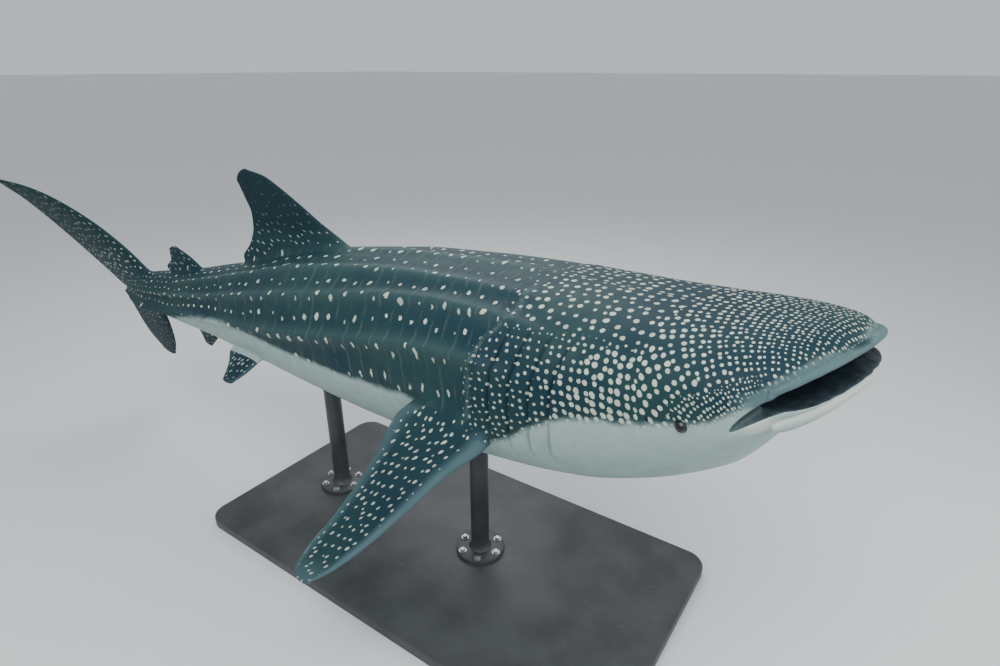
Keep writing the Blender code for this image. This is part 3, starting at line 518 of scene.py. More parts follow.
mouth = {
    "halfWidth": 0.0525, "roof": 0.0034, "floor": -0.0132, "square": 3.4, "droop": 0.0020, "arch": 0.15,
    # share back, and the hollow's width and height there as shares of its own
    "stations": ((-0.020, 1.00, 1.0), (0.035, 1.00, 1.0), (0.060, 1.00, 1.4), (0.088, 0.85, 1.6),
                 (0.104, 0.50, 0.9)),
    "upperLip": {"radius": 0.0034, "height": 0.0050, "setback": 0.0025, "droop": 0.0068, "wide": 0.0545},
    "lowerLip": {"radius": 0.0050, "height": -0.0174, "setback": 0.0105, "droop": 0.0034, "wide": 0.0520},
    "lipTaper": 0.65, "setbackFade": 0.6,
    # the corner's furrow: share back, height, half its height and its depth
    "furrow": ((0.0140, -0.0060, 0.0050, 0.0100), (0.0200, -0.0085, 0.0042, 0.0080),
               (0.0260, -0.0112, 0.0034, 0.0060), (0.0320, -0.0142, 0.0026, 0.0045),
               (0.0380, -0.0178, 0.0017, 0.0030), (0.0425, -0.0212, 0.0007, 0.0012)),
    # share back, height, and half the length, depth and height
    "nasalFlap": (0.0215, -0.0065, 0.0030, 0.0022, 0.0062),
    "spiracle": (0.0870, -0.0165, 0.0012, 0.0025, 0.0019),
    "nostril": (0.0200, -0.0010, 0.0016, 0.0022, 0.0009),
    # the eye's place and radius; its rim and socket are shares of that radius
    "eye": (0.0670, -0.0180, 0.0034), "eyeSunk": 0.30, "rimSunk": 1.20, "rim": 1.55, "socket": 1.04,
}


def mouthSpace():
    angles = np.radians(np.arange(0, 360, 2))
    middle = (mouth["roof"] + mouth["floor"]) / 2
    halfHeight = (mouth["roof"] - mouth["floor"]) / 2
    power = 2 / mouth["square"]
    rings = []
    for s in np.linspace(mouth["stations"][0][0], mouth["stations"][-1][0], 75):
        wide, high = rowCurves(mouth["stations"], s)
        wide, high = mouth["halfWidth"] * wide, halfHeight * high
        y = wide * signedPower(np.sin(angles), power)
        rise = high * signedPower(np.cos(angles), power)
        arch = np.where(rise > 0, 1 - mouth["arch"] * (y / wide) ** 2, 1.0)
        rings.append(place(s, y, middle + rise * arch - mouth["droop"] * (y / wide) ** 2))
    return loft("mouthSpace", rings, slot=1)


def snoutEdge(y, setback):
    # how far back the snout's front edge lies, seen from above
    reach = np.clip(np.abs(y) / shark["outline"][0][1], 0, 0.985)  # short of where it runs straight back
    power = shark["snoutSquare"]
    edge = shark["snoutLength"] * (1 - (1 - reach**power) ** (1 / power))
    return edge + setback * (1 - mouth["setbackFade"] * reach**2)


def tube(name, centres, uprights, acrossHalf, uprightHalf, slot=0):
    # an oval rope through the centres; uprights say which way its second radius points
    ahead = np.gradient(centres, axis=0)
    side = np.cross(ahead, uprights)
    up = np.cross(side, ahead)
    side, up = (way / np.linalg.norm(way, axis=1)[:, None] for way in (side, up))
    across, upright = (side * acrossHalf[:, None])[:, None], (up * uprightHalf[:, None])[:, None]
    around = np.radians(np.arange(0, 360, 12))[None, :, None]
    return loft(name, centres[:, None] + (np.cos(around) * across + np.sin(around) * upright), slot=slot)


def lipRoll(name):
    lip = mouth[name]
    turns = np.linspace(-1, 1, 91)
    y = lip["wide"] * np.sin(turns * pi / 2)
    s = snoutEdge(y, lip["setback"])
    centres = place(s, y, lip["height"] - lip["droop"] * (y / lip["wide"]) ** 2)
    size = lip["radius"] * span * (1 - mouth["lipTaper"] * np.abs(turns) ** 5)
    return tube(name, centres, along(spine[4], s), size, size)


def flankPoint(s, z):
    # how far out the skin lies at a height
    wide, middle, rise, drop, power = bodySizes(s)
    full = np.where(z > middle, rise, drop)
    return wide * (1 - np.abs((z - middle) / full) ** power) ** (1 / power)


def mouthFurrow(side):
    s, z, high, deep = evenCurves(mouth["furrow"], np.linspace(0, 1, 24))
    centres = place(s, side * flankPoint(s, z), z)
    return tube("furrow", centres, along(spine[4], s), deep * span, high * span, 1)


def egg(name, centre, radii, way, slot=0):
    turn = Vector(way).to_track_quat("X", "Z").to_matrix().to_4x4()
    matrix = Matrix.Translation(Vector(centre)) @ turn @ Matrix.Diagonal((*radii, 1.0))
    work = bmesh.new()
    bmesh.ops.create_uvsphere(work, u_segments=36, v_segments=22, radius=1.0, matrix=matrix)
    points = [v.co.copy() for v in work.verts]
    faces = [[v.index for v in face.verts] for face in work.faces]
    work.free()
    return meshFrom(name, points, faces, slot)


def flankEgg(name, side, slot=0):
    s, z, *halves = mouth[name]
    centre = place(s, side * flankPoint(s, z), z)
    return egg(name, centre, [half * span for half in halves], along(spine[2], s), slot)


def eyeCentre(side, sunk):
    s, z, radius = mouth["eye"]
    return place(s, side * (flankPoint(s, z) - radius * mouth[sunk]), z)


def eyeEgg(name, side, sunk):
    s, _, radius = mouth["eye"]
    return egg(name, eyeCentre(side, sunk), [radius * span * mouth[name]] * 3, along(spine[2], s))


def headAdditions():
    made = [lipRoll("upperLip"), lipRoll("lowerLip")]
    for side in (-1, 1):
        made += [flankEgg("nasalFlap", side), eyeEgg("rim", side, "rimSunk")]
    return made


def headHollows():
    made = [mouthSpace()]
    for side in (-1, 1):
        made += [mouthFurrow(side), eyeEgg("socket", side, "eyeSunk")]
        made += [flankEgg("spiracle", side, 1), flankEgg("nostril", side, 1)]
    return made


def treeOf(objects):
    points, faces = [], []
    for obj in objects:
        first = len(points)
        points += [v.co.copy() for v in obj.data.vertices]
        faces += [[first + v for v in p.vertices] for p in obj.data.polygons]
    return BVHTree.FromPolygons(points, faces)


def applyModifier(obj, modifier):
    bpy.context.view_layer.update()
    mesh = bpy.data.meshes.new_from_object(obj.evaluated_get(bpy.context.evaluated_depsgraph_get()))
    obj.modifiers.remove(modifier)
    obj.data = mesh


def joinAll(obj, others, operation):
    group = bpy.data.collections.new("operands")
    bpy.context.scene.collection.children.link(group)
    for other in others:
        workshop.objects.unlink(other)
        group.objects.link(other)
    modifier = obj.modifiers.new("join", "BOOLEAN")
    modifier.operation = operation
    modifier.operand_type = "COLLECTION"
    modifier.collection = group
    modifier.solver = "MANIFOLD"
    applyModifier(obj, modifier)
    for other in others:
        bpy.data.objects.remove(other)
    bpy.data.collections.remove(group)


def splitManySided(work):
    bmesh.ops.triangulate(work, faces=[face for face in work.faces if len(face.verts) > 4])


def largestSurface(obj):
    # drops the crumbs that a join may leave inside
    with editing(obj.data) as work:
        bmesh.ops.remove_doubles(work, verts=work.verts, dist=0.0003)
        work.faces.ensure_lookup_table()
        group = np.full(len(work.faces), -1)
        count = 0
        for start in work.faces:
            if group[start.index] >= 0:
                continue
            stack = [start]
            group[start.index] = count
            while stack:
                for edge in stack.pop().edges:
                    for face in edge.link_faces:
                        if group[face.index] < 0:
                            group[face.index] = count
                            stack.append(face)
            count += 1
        keep = np.bincount(group).argmax()
        bmesh.ops.delete(work, geom=[f for f in work.faces if group[f.index] != keep], context="FACES")
        splitManySided(work)


def readAll(items, key, width=1, kind=float):
    values = np.empty(len(items) * width, kind)
    items.foreach_get(key, values)
    return values.reshape(-1, width) if width > 1 else values


def pointsOf(mesh):
    return readAll(mesh.vertices, "co", 3)


def seamPoints(points, *trees, near=0.0006):
    # the points that lie on all these surfaces
    def liesOn(tree, point):
        return tree.find_nearest(Vector(point), near)[0] is not None

    return [point for point in points if all(liesOn(tree, point) for tree in trees)]


def seamTree(seams):
    tree = KDTree(len(seams))
    for i, seam in enumerate(seams):
        tree.insert(seam, i)
    tree.balance()
    return tree


# How the seams are finished, in metres: how far from a seam its melting reaches, and in how many rounds.
seamWork = {
    "fins": (0.045, 14), "head": (0.014, 7), "meltCurve": 0.8, "meltShare": 0.6,
    "eyesKept": 0.05,  # no merging this near to the eyes
    "mergeReach": 0.012, "mergeLeast": 0.005, "closeRounds": 8,
    "rimRounds": (12, 8),
    "foldReach": 0.03, "foldAngle": 1.4, "foldRounds": 25,
}


def mergeSlivers(obj, seams):
    # the joins leave points almost on top of each other, which would melt unevenly
    tree = seamTree(seams)
    with editing(obj.data) as work:
        near = [v for v in work.verts if tree.find(v.co)[2] < seamWork["mergeReach"]]
        bmesh.ops.remove_doubles(work, verts=near, dist=seamWork["mergeLeast"])
        for _ in range(seamWork["closeRounds"]):  # drops loose flaps, and shrinks edges where folds touch
            flaps = [face for face in work.faces if any(len(edge.link_faces) == 1 for edge in face.edges)]
            bmesh.ops.delete(work, geom=flaps, context="FACES")
            touching = [edge for edge in work.edges if len(edge.link_faces) > 2]
            bmesh.ops.collapse(work, edges=touching)
            if not flaps and not touching:
                break
        bmesh.ops.delete(work, geom=[edge for edge in work.edges if not edge.link_faces], context="EDGES")
        splitManySided(work)


def smoothRims(obj, rounds):
    # evens out the line between the skin and the lining
    with editing(obj.data) as work:
        beside = {}
        for edge in work.edges:
            if len({face.material_index for face in edge.link_faces}) > 1:
                a, b = edge.verts
                beside.setdefault(a, []).append(b)
                beside.setdefault(b, []).append(a)
        rim = {vertex: ends for vertex, ends in beside.items() if len(ends) == 2}
        for _ in range(rounds):
            moved = [(vertex, (vertex.co * 2 + a.co + b.co) / 4) for vertex, (a, b) in rim.items()]
            for vertex, at in moved:
                vertex.co = at


def untangle(obj, seams):
    # relaxes the points of faces that are folded over each other
    tree = seamTree(seams)
    axes = {"use_axis_x": True, "use_axis_y": True, "use_axis_z": True}
    with editing(obj.data) as work:
        near = [edge for edge in work.edges if tree.find(edge.verts[0].co)[2] < seamWork["foldReach"]]
        for _ in range(seamWork["foldRounds"]):
            folded = {}
            for edge in near:
                if edge.calc_face_angle(0) > seamWork["foldAngle"]:
                    folded.update((vertex, None) for face in edge.link_faces for vertex in face.verts)
            if not folded:
                break
            bmesh.ops.smooth_vert(work, verts=list(folded), factor=0.5, **axes)
            work.normal_update()


def meltSeams(obj, seams, reach, rounds):
    # rounds off the crease along each seam, less and less out to its reach
    points = pointsOf(obj.data)
    tree = seamTree(seams)
    away = np.array([tree.find(point)[2] for point in points])
    weight = (np.clip(1 - away / reach, 0, 1) ** seamWork["meltCurve"])[:, None] * seamWork["meltShare"]
    a, b = readAll(obj.data.edges, "vertices", 2, int).T
    count = len(points)
    degree = np.bincount(np.concatenate([a, b]), minlength=count)[:, None]
    for _ in range(rounds):
        total = [np.bincount(a, column[b], count) + np.bincount(b, column[a], count) for column in points.T]
        points = points + (np.stack(total, 1) / np.maximum(degree, 1) - points) * weight
    obj.data.vertices.foreach_set("co", points.ravel())
    obj.data.update()


def makeSkin():
    body = bodyShape()
    bodyTree = treeOf([body])
    fins = finShapes(bodyTree)
    finTree = treeOf(fins)
    joinAll(body, fins + headAdditions(), "UNION")
    print("skin: fins and lips joined", len(body.data.vertices))
    wholeTree = treeOf([body])
    hollows = headHollows()
    hollowTree, mouthTree, otherTree = treeOf(hollows), treeOf(hollows[:1]), treeOf(hollows[1:])
    joinAll(body, hollows, "DIFFERENCE")
    largestSurface(body)
    points = pointsOf(body.data)
    finSeams = seamPoints(points, bodyTree, finTree)
    meltSeams(body, finSeams, *seamWork["fins"])
    headSeams = seamPoints(points, wholeTree, hollowTree) + seamPoints(points, mouthTree, otherTree)
    eyes = [eyeCentre(side, "eyeSunk") for side in (-1, 1)]
    clear = [min(np.linalg.norm(seam - eye) for eye in eyes) > seamWork["eyesKept"] for seam in headSeams]
    mergeSlivers(body, [seam for seam, isClear in zip(headSeams, clear) if isClear])
    before, after = seamWork["rimRounds"]
    smoothRims(body, before)
    meltSeams(body, headSeams, *seamWork["head"])
    smoothRims(body, after)
    untangle(body, headSeams)
    print("skin: seams melted", len(finSeams), len(headSeams), len(body.data.polygons))
    return body


class Wire:  # a shader value that ordinary sums can be written with
    def __init__(self, paint, socket):
        self.paint, self.socket = paint, socket

    def of(self, name):
        return Wire(self.paint, self.socket.node.outputs[name])

    def maths(self, operation, *values, **settings):
        return self.paint.add("ShaderNodeMath", {"operation": operation, **settings}, dict(enumerate(values)))

    def __add__(self, other):
        return self.maths("ADD", self, other)

    def __radd__(self, other):
        return self.maths("ADD", other, self)

    def __sub__(self, other):
        return self.maths("SUBTRACT", self, other)

    def __rsub__(self, other):
        return self.maths("SUBTRACT", other, self)

    def __mul__(self, other):
        return self.maths("MULTIPLY", self, other)

    def __rmul__(self, other):
        return self.maths("MULTIPLY", other, self)

    def most(self, other):
        return self.maths("MAXIMUM", self, other)

    def held(self, scale=1.0):
        # kept between 0 and 1
        return self.maths("MULTIPLY", self, scale, use_clamp=True)

    def ramp(self, low, high):
        # 0 below low, 1 above high, eased between
        t = (self - low).held(1.0 / (high - low))
        return t * t * (3.0 - 2.0 * t)


class Paint:  # one material and its nodes
    def __init__(self, name):
        self.material = bpy.data.materials.new(name)
        self.material.use_nodes = True
        self.tree = self.material.node_tree
        self.shader = self.tree.nodes["Principled BSDF"]
        self.place = self.add("ShaderNodeTexCoord").of("Object")

    def set(self, socket, value):
        if isinstance(value, Wire):
            self.tree.links.new(value.socket, socket)
        elif isinstance(value, (int, float)) or socket.type == "VECTOR":
            socket.default_value = value
        else:
            socket.default_value = (*value, 1.0)

    def add(self, kind, settings=None, values=None, out=0):
        node = self.tree.nodes.new(kind)
        for key, value in (settings or {}).items():
            setattr(node, key, value)
        for key, value in (values or {}).items():
            self.set(node.inputs[key], value)
        return Wire(self, node.outputs[out])

    def mix(self, share, a, b):
        return self.add("ShaderNodeMix", {"data_type": "RGBA"}, {0: share, 6: a, 7: b}, 2)

    def layers(self, colour, *coats):
        # coats of (share, colour) over a first colour
        for share, coat in coats:
            colour = self.mix(share, colour, coat)
        return colour

    def noise(self, place, scale, detail, rough=0.5, out="Fac"):
        values = {"Vector": place, "Scale": scale, "Detail": detail, "Roughness": rough}
        return self.add("ShaderNodeTexNoise", None, values).of(out)

    def grain(self, name):
        # one of the noises named below
        return self.noise(self.place, *grains[name])

    def cells(self, place, scale, loose, dimensions="2D"):
        values = {"Vector": place, "Scale": scale, "Randomness": loose}
        return self.add("ShaderNodeTexVoronoi", {"voronoi_dimensions": dimensions}, values)

    def attribute(self, name):
        return self.add("ShaderNodeAttribute", {"attribute_name": name}).of("Vector")

    def parts(self, vector):
        wire = self.add("ShaderNodeSeparateXYZ", None, {0: vector})
        return wire.of("X"), wire.of("Y"), wire.of("Z")

    def vectors(self, operation, *values):
        return self.add("ShaderNodeVectorMath", {"operation": operation}, dict(enumerate(values)))

    def wobble(self, scale, amount):
        # pushes a pattern about, by up to half the amount
        centred = self.vectors("SUBTRACT", self.noise(self.place, scale, 2.0, out="Color"), (0.5, 0.5, 0.5))
        return self.add("ShaderNodeVectorMath", {"operation": "SCALE"}, {0: centred, "Scale": amount})

    def relief(self, height, distance, strength, under=None):
        values = {"Height": height, "Distance": distance, "Strength": strength}
        if under is not None:
            values["Normal"] = under
        return self.add("ShaderNodeBump", None, values)

    def finish(self, **sockets):
        for name, value in sockets.items():
            self.set(self.shader.inputs[name.replace("_", " ")], value)
        return self.material


def tint(colour, share):
    return tuple(channel * share for channel in colour)


# Noise over the surfaces: scale per metre, detail, and roughness where it isn't even.
grains = {
    "drift": (2.2, 4.0), "blotch": (14.0, 5.0, 0.6), "fine": (70.0, 4.0, 0.6),
    "lining": (80.0, 3.0), "flecks": (260.0, 4.0),
    "peel": (160.0, 3.0), "smear": (4.0, 4.0), "dust": (24.0, 6.0, 0.65),
    "rubber": (300.0, 4.0), "floor": (1.5, 3.0),
}

# The markings: places are shares of the length or metres, angles are degrees from the middle of the back.
markings = {
    # the line between the dark flank and the pale belly, and the upper lip's line on the snout
    "edgeAt": (0.0, 0.026, 0.045, 0.066, 0.10, 0.14, 0.165, 0.185, 0.205, 0.225, 0.26, 0.30, 0.45, 0.52,
               0.61, 0.68, 0.81),
    "edgeAngle": (78.0, 83.0, 90.0, 93.0, 92.5, 92.0, 96.0, 103.0, 110.0, 111.0, 102.0, 96.0, 95.0, 89.0,
                  80.0, 72.0, 70.0),
    "edgeRise": 0.24, "edgeRiseRun": (0.56, 0.77),  # in metres, towards the tail
    "lipAt": (0.000, 0.011, 0.021, 0.031, 0.040, 0.047, 0.054, 0.059),
    "lipTop": (0.0066, 0.0080, 0.0090, 0.0085, 0.0074, 0.0057, 0.0026, 0.0000),
    "lipEdge": (-0.008, 0.014), "lipEnds": (0.028, 0.042), "lipFloor": (-0.0105, -0.0060),
    "jawLipWidth": (0.004, 0.0075), "jawLipEnds": (0.030, 0.040),
    "frontEnds": (0.024, 0.036), "frontDrop": 0.010,
    # the crests of the ridges and of the last gill flap, painted paler as a highlight on them
    "crestWidth": 1.2, "backCrest": 6.0, "foldEdge": 0.0028, "foldEdgeAngles": (10, 28, 100, 118),
    # spots of the head and between the gills
    "headGrowth": 1.5, "headScale": 38.5,
    "headEnds": (0.0905, 0.0920), "gillStarts": (0.0915, 0.0930), "gillCell": 0.0350,
    "sizeAt": (0.0, 0.03, 0.08, 0.13, 0.145, 0.17, 0.23),
    "headSize": (0.80, 0.92, 1.10, 1.10, 0.90, 0.64, 0.56), "topSize": 0.86, "topAngle": (30, 65),
    # the fine spots between the eye and the mouth's corner, and the wide ones over the back of the head
    "fineAt": (0.022, 0.034, 0.066, 0.078), "fineReach": (0.13, 0.07), "fineness": 1.6,
    "napeAngle": (40.0, 56.0), "napeCoarse": 0.66, "napeSize": 0.78, "napeFade": 0.012,
    "foldFade": (0.002, 0.012),
    # rows along the flank: the first row's angle, the rows' pitch, and the steps along them in metres
    "rowFirst": 2.0, "rowPitch": 13.8, "rowMiddle": 20.5,
    "rowStepAt": (0.15, 0.25, 0.32, 0.50, 0.65, 0.81),
    "rowStep": (0.085, 0.088, 0.108, 0.120, 0.085, 0.055),
    # fins: from where off the body they count, their pale edges as shares of chord and span, and how
    # their undersides turn pale
    "finStarts": (0.020, 0.050), "finOnly": (0.028, 0.042),
    "finClear": (0.08, 0.20, 0.88, 0.97), "paleFront": (0.05, 0.19), "paleBack": (0.80, 0.97),
    "paleTip": (0.82, 1.0), "paleShare": 0.55, "finDarkens": (0.0, 0.25),
    "underSlope": 7, "underStart": 0.012, "underMost": 0.2,
}

# A spot's looseness in its cell, its least radius and spread, and the softness of its edge, all in cells.
spotKinds = {
    "head": (0.42, 0.205, 0.100, 0.040), "fine": (0.50, 0.215, 0.090, 0.055),
    "gill": (0.44, 0.235, 0.100, 0.045), "nape": (0.50, 0.200, 0.130, 0.035),
    "flank": (0.36, 0.060, 0.092, 0.026), "fin": (0.62, 0.15, 0.12, 0.045),
}

skinRelief = {"blotch": (0.004, 0.30), "fine": (0.0016, 0.35), "scales": (0.0006, 0.35), "scaleSize": 420.0}
bends = ((9.0, 0.45), (45.0, 0.22))  # scale and amount by which the spots' cells are bent

colours = {
    "dark": (0.010, 0.033, 0.042), "darkBlue": (0.007, 0.030, 0.044), "darkGreen": (0.015, 0.047, 0.050),
    "finDark": (0.006, 0.022, 0.030), "finEdge": (0.085, 0.150, 0.170), "crest": (0.052, 0.100, 0.100),
    # belly is the underside's own pale colour, partly darkened as painted shade under the body
    "spot": (0.62, 0.68, 0.56), "belly": (0.33, 0.44, 0.42),
    "lip": (0.066, 0.125, 0.135), "lowerLip": (0.56, 0.62, 0.56),
    "lining": (0.034, 0.056, 0.068), "furrow": (0.095, 0.145, 0.150),
}

# Each fin's spots: cell along and across in metres, size at root and tip, pale front edge, darkness.
finMarks = {
    "dorsalFirst": {"cell": (0.060, 0.060), "size": (0.48, 0.15), "edge": 0.0, "dark": 0.92},
    "dorsalSecond": {"cell": (0.045, 0.045), "size": (0.75, 0.50), "edge": 0.1, "dark": 0.4},
    "anal": {"cell": (0.045, 0.045), "size": (0.75, 0.50), "edge": 0.1, "dark": 0.3},
    "tailUpper": {"cell": (0.055, 0.050), "size": (0.70, 0.45), "edge": 0.0, "dark": 0.45},
    "tailLower": {"cell": (0.055, 0.050), "size": (0.65, 0.40), "edge": 0.0, "dark": 0.7},
    "pectoral": {"cell": (0.036, 0.048), "size": (0.80, 0.66), "edge": 1.0, "dark": 0.15},
    "pelvic": {"cell": (0.042, 0.045), "size": (0.90, 0.60), "edge": 0.4, "dark": 0.2},
}


def sectionTables():
    # how far round the skin each angle lies, the section's reach there, and the way along from the snout
    stations = np.concatenate([np.linspace(0.0012, 0.09, 60), np.linspace(0.093, shark["bodyEnd"], 180)])
    girth, reach = [], []
    for s in stations:
        y, z, _ = sectionAt(s, np.radians(np.linspace(0, 180, 181)))
        girth.append(np.concatenate([[0], np.cumsum(np.hypot(np.diff(y), np.diff(z)))]) * span)
        reach.append(np.hypot(y, z) * span)
    ahead = np.diff(stations, prepend=0)[:, None] * span
    meridian = np.cumsum(np.hypot(ahead, np.diff(reach, axis=0, prepend=0)), axis=0)
    return stations, np.array(girth), np.array(reach), meridian


def lookUp(table, stations, s, angle):
    i = np.clip(np.searchsorted(stations, s) - 1, 0, len(stations) - 2)
    t = np.clip((s - stations[i]) / (stations[i + 1] - stations[i]), 0, 1)
    j = np.clip(np.asarray(angle).astype(int), 0, 179)
    u = angle - j
    low = table[i, j] * (1 - u) + table[i, j + 1] * u
    high = table[i + 1, j] * (1 - u) + table[i + 1, j + 1] * u
    return low * (1 - t) + high * t


def setAttribute(mesh, name, *columns):
    values = np.stack(np.broadcast_arrays(*columns), 1).astype(np.float32)
    mesh.attributes.new(name, "FLOAT_VECTOR", "POINT").data.foreach_set("vector", values.ravel())


def finPlaces(points, s, y, z):
    # for each fin: its own points, how far behind its front edge and along its span they lie, both as
    # shares too, and how far off its plane
    zones = {
        "dorsalFirst": (s > 0.39) & (s < 0.60) & (z > 0.04),
        "dorsalSecond": (s > 0.62) & (s < 0.725) & (z > 0.015),
        "anal": (s > 0.62) & (s < 0.725) & (z < -0.015) & (np.abs(y) < 0.02),
        "tailUpper": (s > 0.735) & (z > 0.0),
        "tailLower": (s > 0.735) & (z <= 0.0),
        "pectoral": (s > 0.17) & (s < 0.40) & (z < -0.02) & (np.abs(y) > 0.05),
        "pelvic": (s > 0.47) & (s < 0.61) & (z < 0.0) & (np.abs(y) > 0.02),
    }
    for name, mine in zones.items():
        spec = middleFins.get(name) or pairedFins[name]
        a, b, height = s[mine], z[mine], np.zeros(mine.sum())
        if name in pairedFins:
            for side in (-1, 1):
                origin, *ways = pairedWays(spec, side)
                these = (y[mine] * side) > 0
                offset = points[mine][these] - origin
                a[these], b[these], height[these] = np.linalg.solve(np.stack(ways, 1), offset.T) / span
        lead, trail = np.array(spec["lead"]), np.array(spec["trail"])
        way = 1 if lead[-1, 1] > lead[0, 1] else -1
        front = np.interp(b * way, lead[:, 1] * way, lead[:, 0])
        back = np.interp(b * way, trail[:, 1] * way, trail[:, 0])
        chordShare = np.clip((a - front) / np.maximum(back - front, 0.004), 0, 1)
        spanShare = np.clip((b - lead[1, 1]) / (lead[-1, 1] - lead[1, 1]), 0, 1)
        yield name, mine, a - front, b, chordShare, spanShare, height * span


# The map laid over the skin as the UV map OFBake: left, low, right and high of each part.
skinMap = {
    "head": (0.003, 0.403, 0.617, 0.997),
    "trunk": (0.623, 0.003, 0.997, 0.997),
    "rest": (0.003, 0.003, 0.617, 0.397),
    "headEnds": 0.235, "noseRoom": 0.80, "bellyRoom": 0.30,
    # what goes to the rest: lips and fins this far off the plain body, in metres, and squeezed faces
    "lipEnds": 0.11, "lipOff": 0.007, "finOff": 0.035, "squeezed": 0.12,
}


def fitTo(box, uv, corners):
    low, high = uv[corners].min(0), uv[corners].max(0)
    uv[corners] = (uv[corners] - low) / (high - low) * np.subtract(box[2:], box[:2]) + box[:2]


def projectMap(obj, chosen):
    # smart projection of the chosen faces; the map's corners, as one array
    mesh = obj.data
    mesh.uv_layers.new(name="OFBake")
    mesh.polygons.foreach_set("select", chosen)
    bpy.context.tool_settings.mesh_select_mode = (False, False, True)
    bpy.ops.object.select_all(action="DESELECT")
    obj.select_set(True)
    bpy.context.view_layer.objects.active = obj
    bpy.ops.object.mode_set(mode="EDIT")
    bpy.ops.uv.smart_project(angle_limit=1.15, island_margin=0.003, scale_to_bounds=True)
    bpy.ops.object.mode_set(mode="OBJECT")
    return readAll(mesh.uv_layers["OFBake"].uv, "vector", 2, np.float32)


def layMap(obj, across, length, s, out, finZone):
    # the head and the trunk are unrolled, and the fins, lips and hollows are left to the projection
    mesh = obj.data
    counts, slots = (readAll(mesh.polygons, key, kind=np.int32) for key in ("loop_total", "material_index"))
    area = readAll(mesh.polygons, "area")
    vertex = readAll(mesh.loops, "vertex_index", kind=np.int32)
    first = np.concatenate([[0], np.cumsum(counts)[:-1]])
    following = np.arange(1, len(vertex) + 1)
    following[first + counts - 1] = first

    def ofFaces(values):
        return np.add.reduceat(values[vertex].astype(float), first) / counts

    sign = np.where(np.repeat(ofFaces(across) < 0, counts), -1, 1)
    uv = np.stack([sign * np.abs(across[vertex]), length[vertex]], 1)
    head = ofFaces(s) < skinMap["headEnds"]
    rest = (slots > 0) | ((ofFaces(s) < skinMap["lipEnds"]) & (np.abs(ofFaces(out)) > skinMap["lipOff"]))
    rest |= (ofFaces(out) > skinMap["finOff"]) & (ofFaces(finZone) > 0.5)
    turn = uv[:, 0] * uv[following, 1] - uv[following, 0] * uv[:, 1]
    laid = np.add.reduceat(turn, first) / np.maximum(area, 1e-12)
    for part in (head, ~head):
        rest |= part & (laid / np.median(laid[part & ~rest]) < skinMap["squeezed"])
    for name, part in (("head", head & ~rest), ("trunk", ~head & ~rest)):
        fitTo(skinMap[name], uv, np.repeat(part, counts))
    corners = np.repeat(rest, counts)
    uv[corners] = projectMap(obj, rest)[corners]
    fitTo(skinMap["rest"], uv, corners)
    mesh.uv_layers["OFBake"].uv.foreach_set("vector", uv.astype(np.float32).ravel())
    print("skin: mapped", int(rest.sum()), "of", len(rest), "faces by projection")


def skinPlaces(points):
    # where the points lie: s, y and z, how far round from the back in degrees and in metres, how far off
    # the plain body, and whether on a fin; roundAt reads one of the body's tables at other angles
    s, y, z = unplace(points)
    inner = np.clip(s, 0.0013, shark["bodyEnd"])
    wide, middle, rise, drop, power = bodySizes(inner)
    up = (np.abs(z - middle) / np.where(z > middle, rise, drop)) ** (power / 2) * np.sign(z - middle)
    angle = np.degrees(np.arctan2((np.abs(y) / wide) ** (power / 2), up))
    stations, girth, reach, meridian = sectionTables()

    def roundAt(angles, table=girth, station=inner):
        return lookUp(table, stations, station, angles)

    out = np.hypot(y, z - middle) * span - roundAt(angle, reach)
    out = np.maximum(out, (s - shark["bodyEnd"]) * span)
    length = roundAt(angle, meridian) / roundAt(angle, meridian, np.full(len(s), skinMap["headEnds"]))
    return SimpleNamespace(
        points=points, s=s, y=y, z=z, side=np.sign(y), out=out, length=length,
        angle=angle, arc=roundAt(angle), roundAt=roundAt,
        fold=foldLine(angle), tracks=ridgeAngles(np.clip(s, 0, shark["bodyEnd"])),
        fin=smoothStep(*markings["finStarts"], out), finOnly=smoothStep(*markings["finOnly"], out),
    )


def markHead(mesh, at, under):
    # spots that grow from the snout to the cheek: the exponential of a complex number keeps them round
    turned = np.maximum(at.s, 0) * span + 1j * at.arc * at.side
    spots = np.exp(-markings["headGrowth"] * turned) * markings["headScale"]
    nape = 1 - smoothStep(*markings["napeAngle"], at.angle)
    fade = markings["napeFade"] * nape
    before, after = markings["foldFade"]
    head = 1 - smoothStep(at.fold - before - fade, at.fold + after + fade, at.s)
    slanted = at.s + gills["slant"] * np.cos(np.radians(at.angle))
    size = np.interp(slanted, markings["sizeAt"], markings["headSize"])
    top = markings["topSize"]
    size = size * (top + (1 - top) * smoothStep(*markings["topAngle"], at.angle)) * (1 - at.fin)
    front = 1 - smoothStep(*markings["headEnds"], at.s)
    setAttribute(mesh, "headSpots", spots.real, spots.imag, head * size * front)
    gill = smoothStep(*markings["gillStarts"], at.s) * head
    cell = markings["gillCell"]
    setAttribute(mesh, "gillSpots", at.s * span / cell, (at.arc / cell + 0.5) * at.side, gill * size)
    far, near = markings["fineReach"]
    finer = smoothStep(-far, -near, under) * hill(*markings["fineAt"], at.s)
    setAttribute(mesh, "regions", finer, nape, nape * markings["napeSize"] / np.maximum(size, 0.1))
    return head


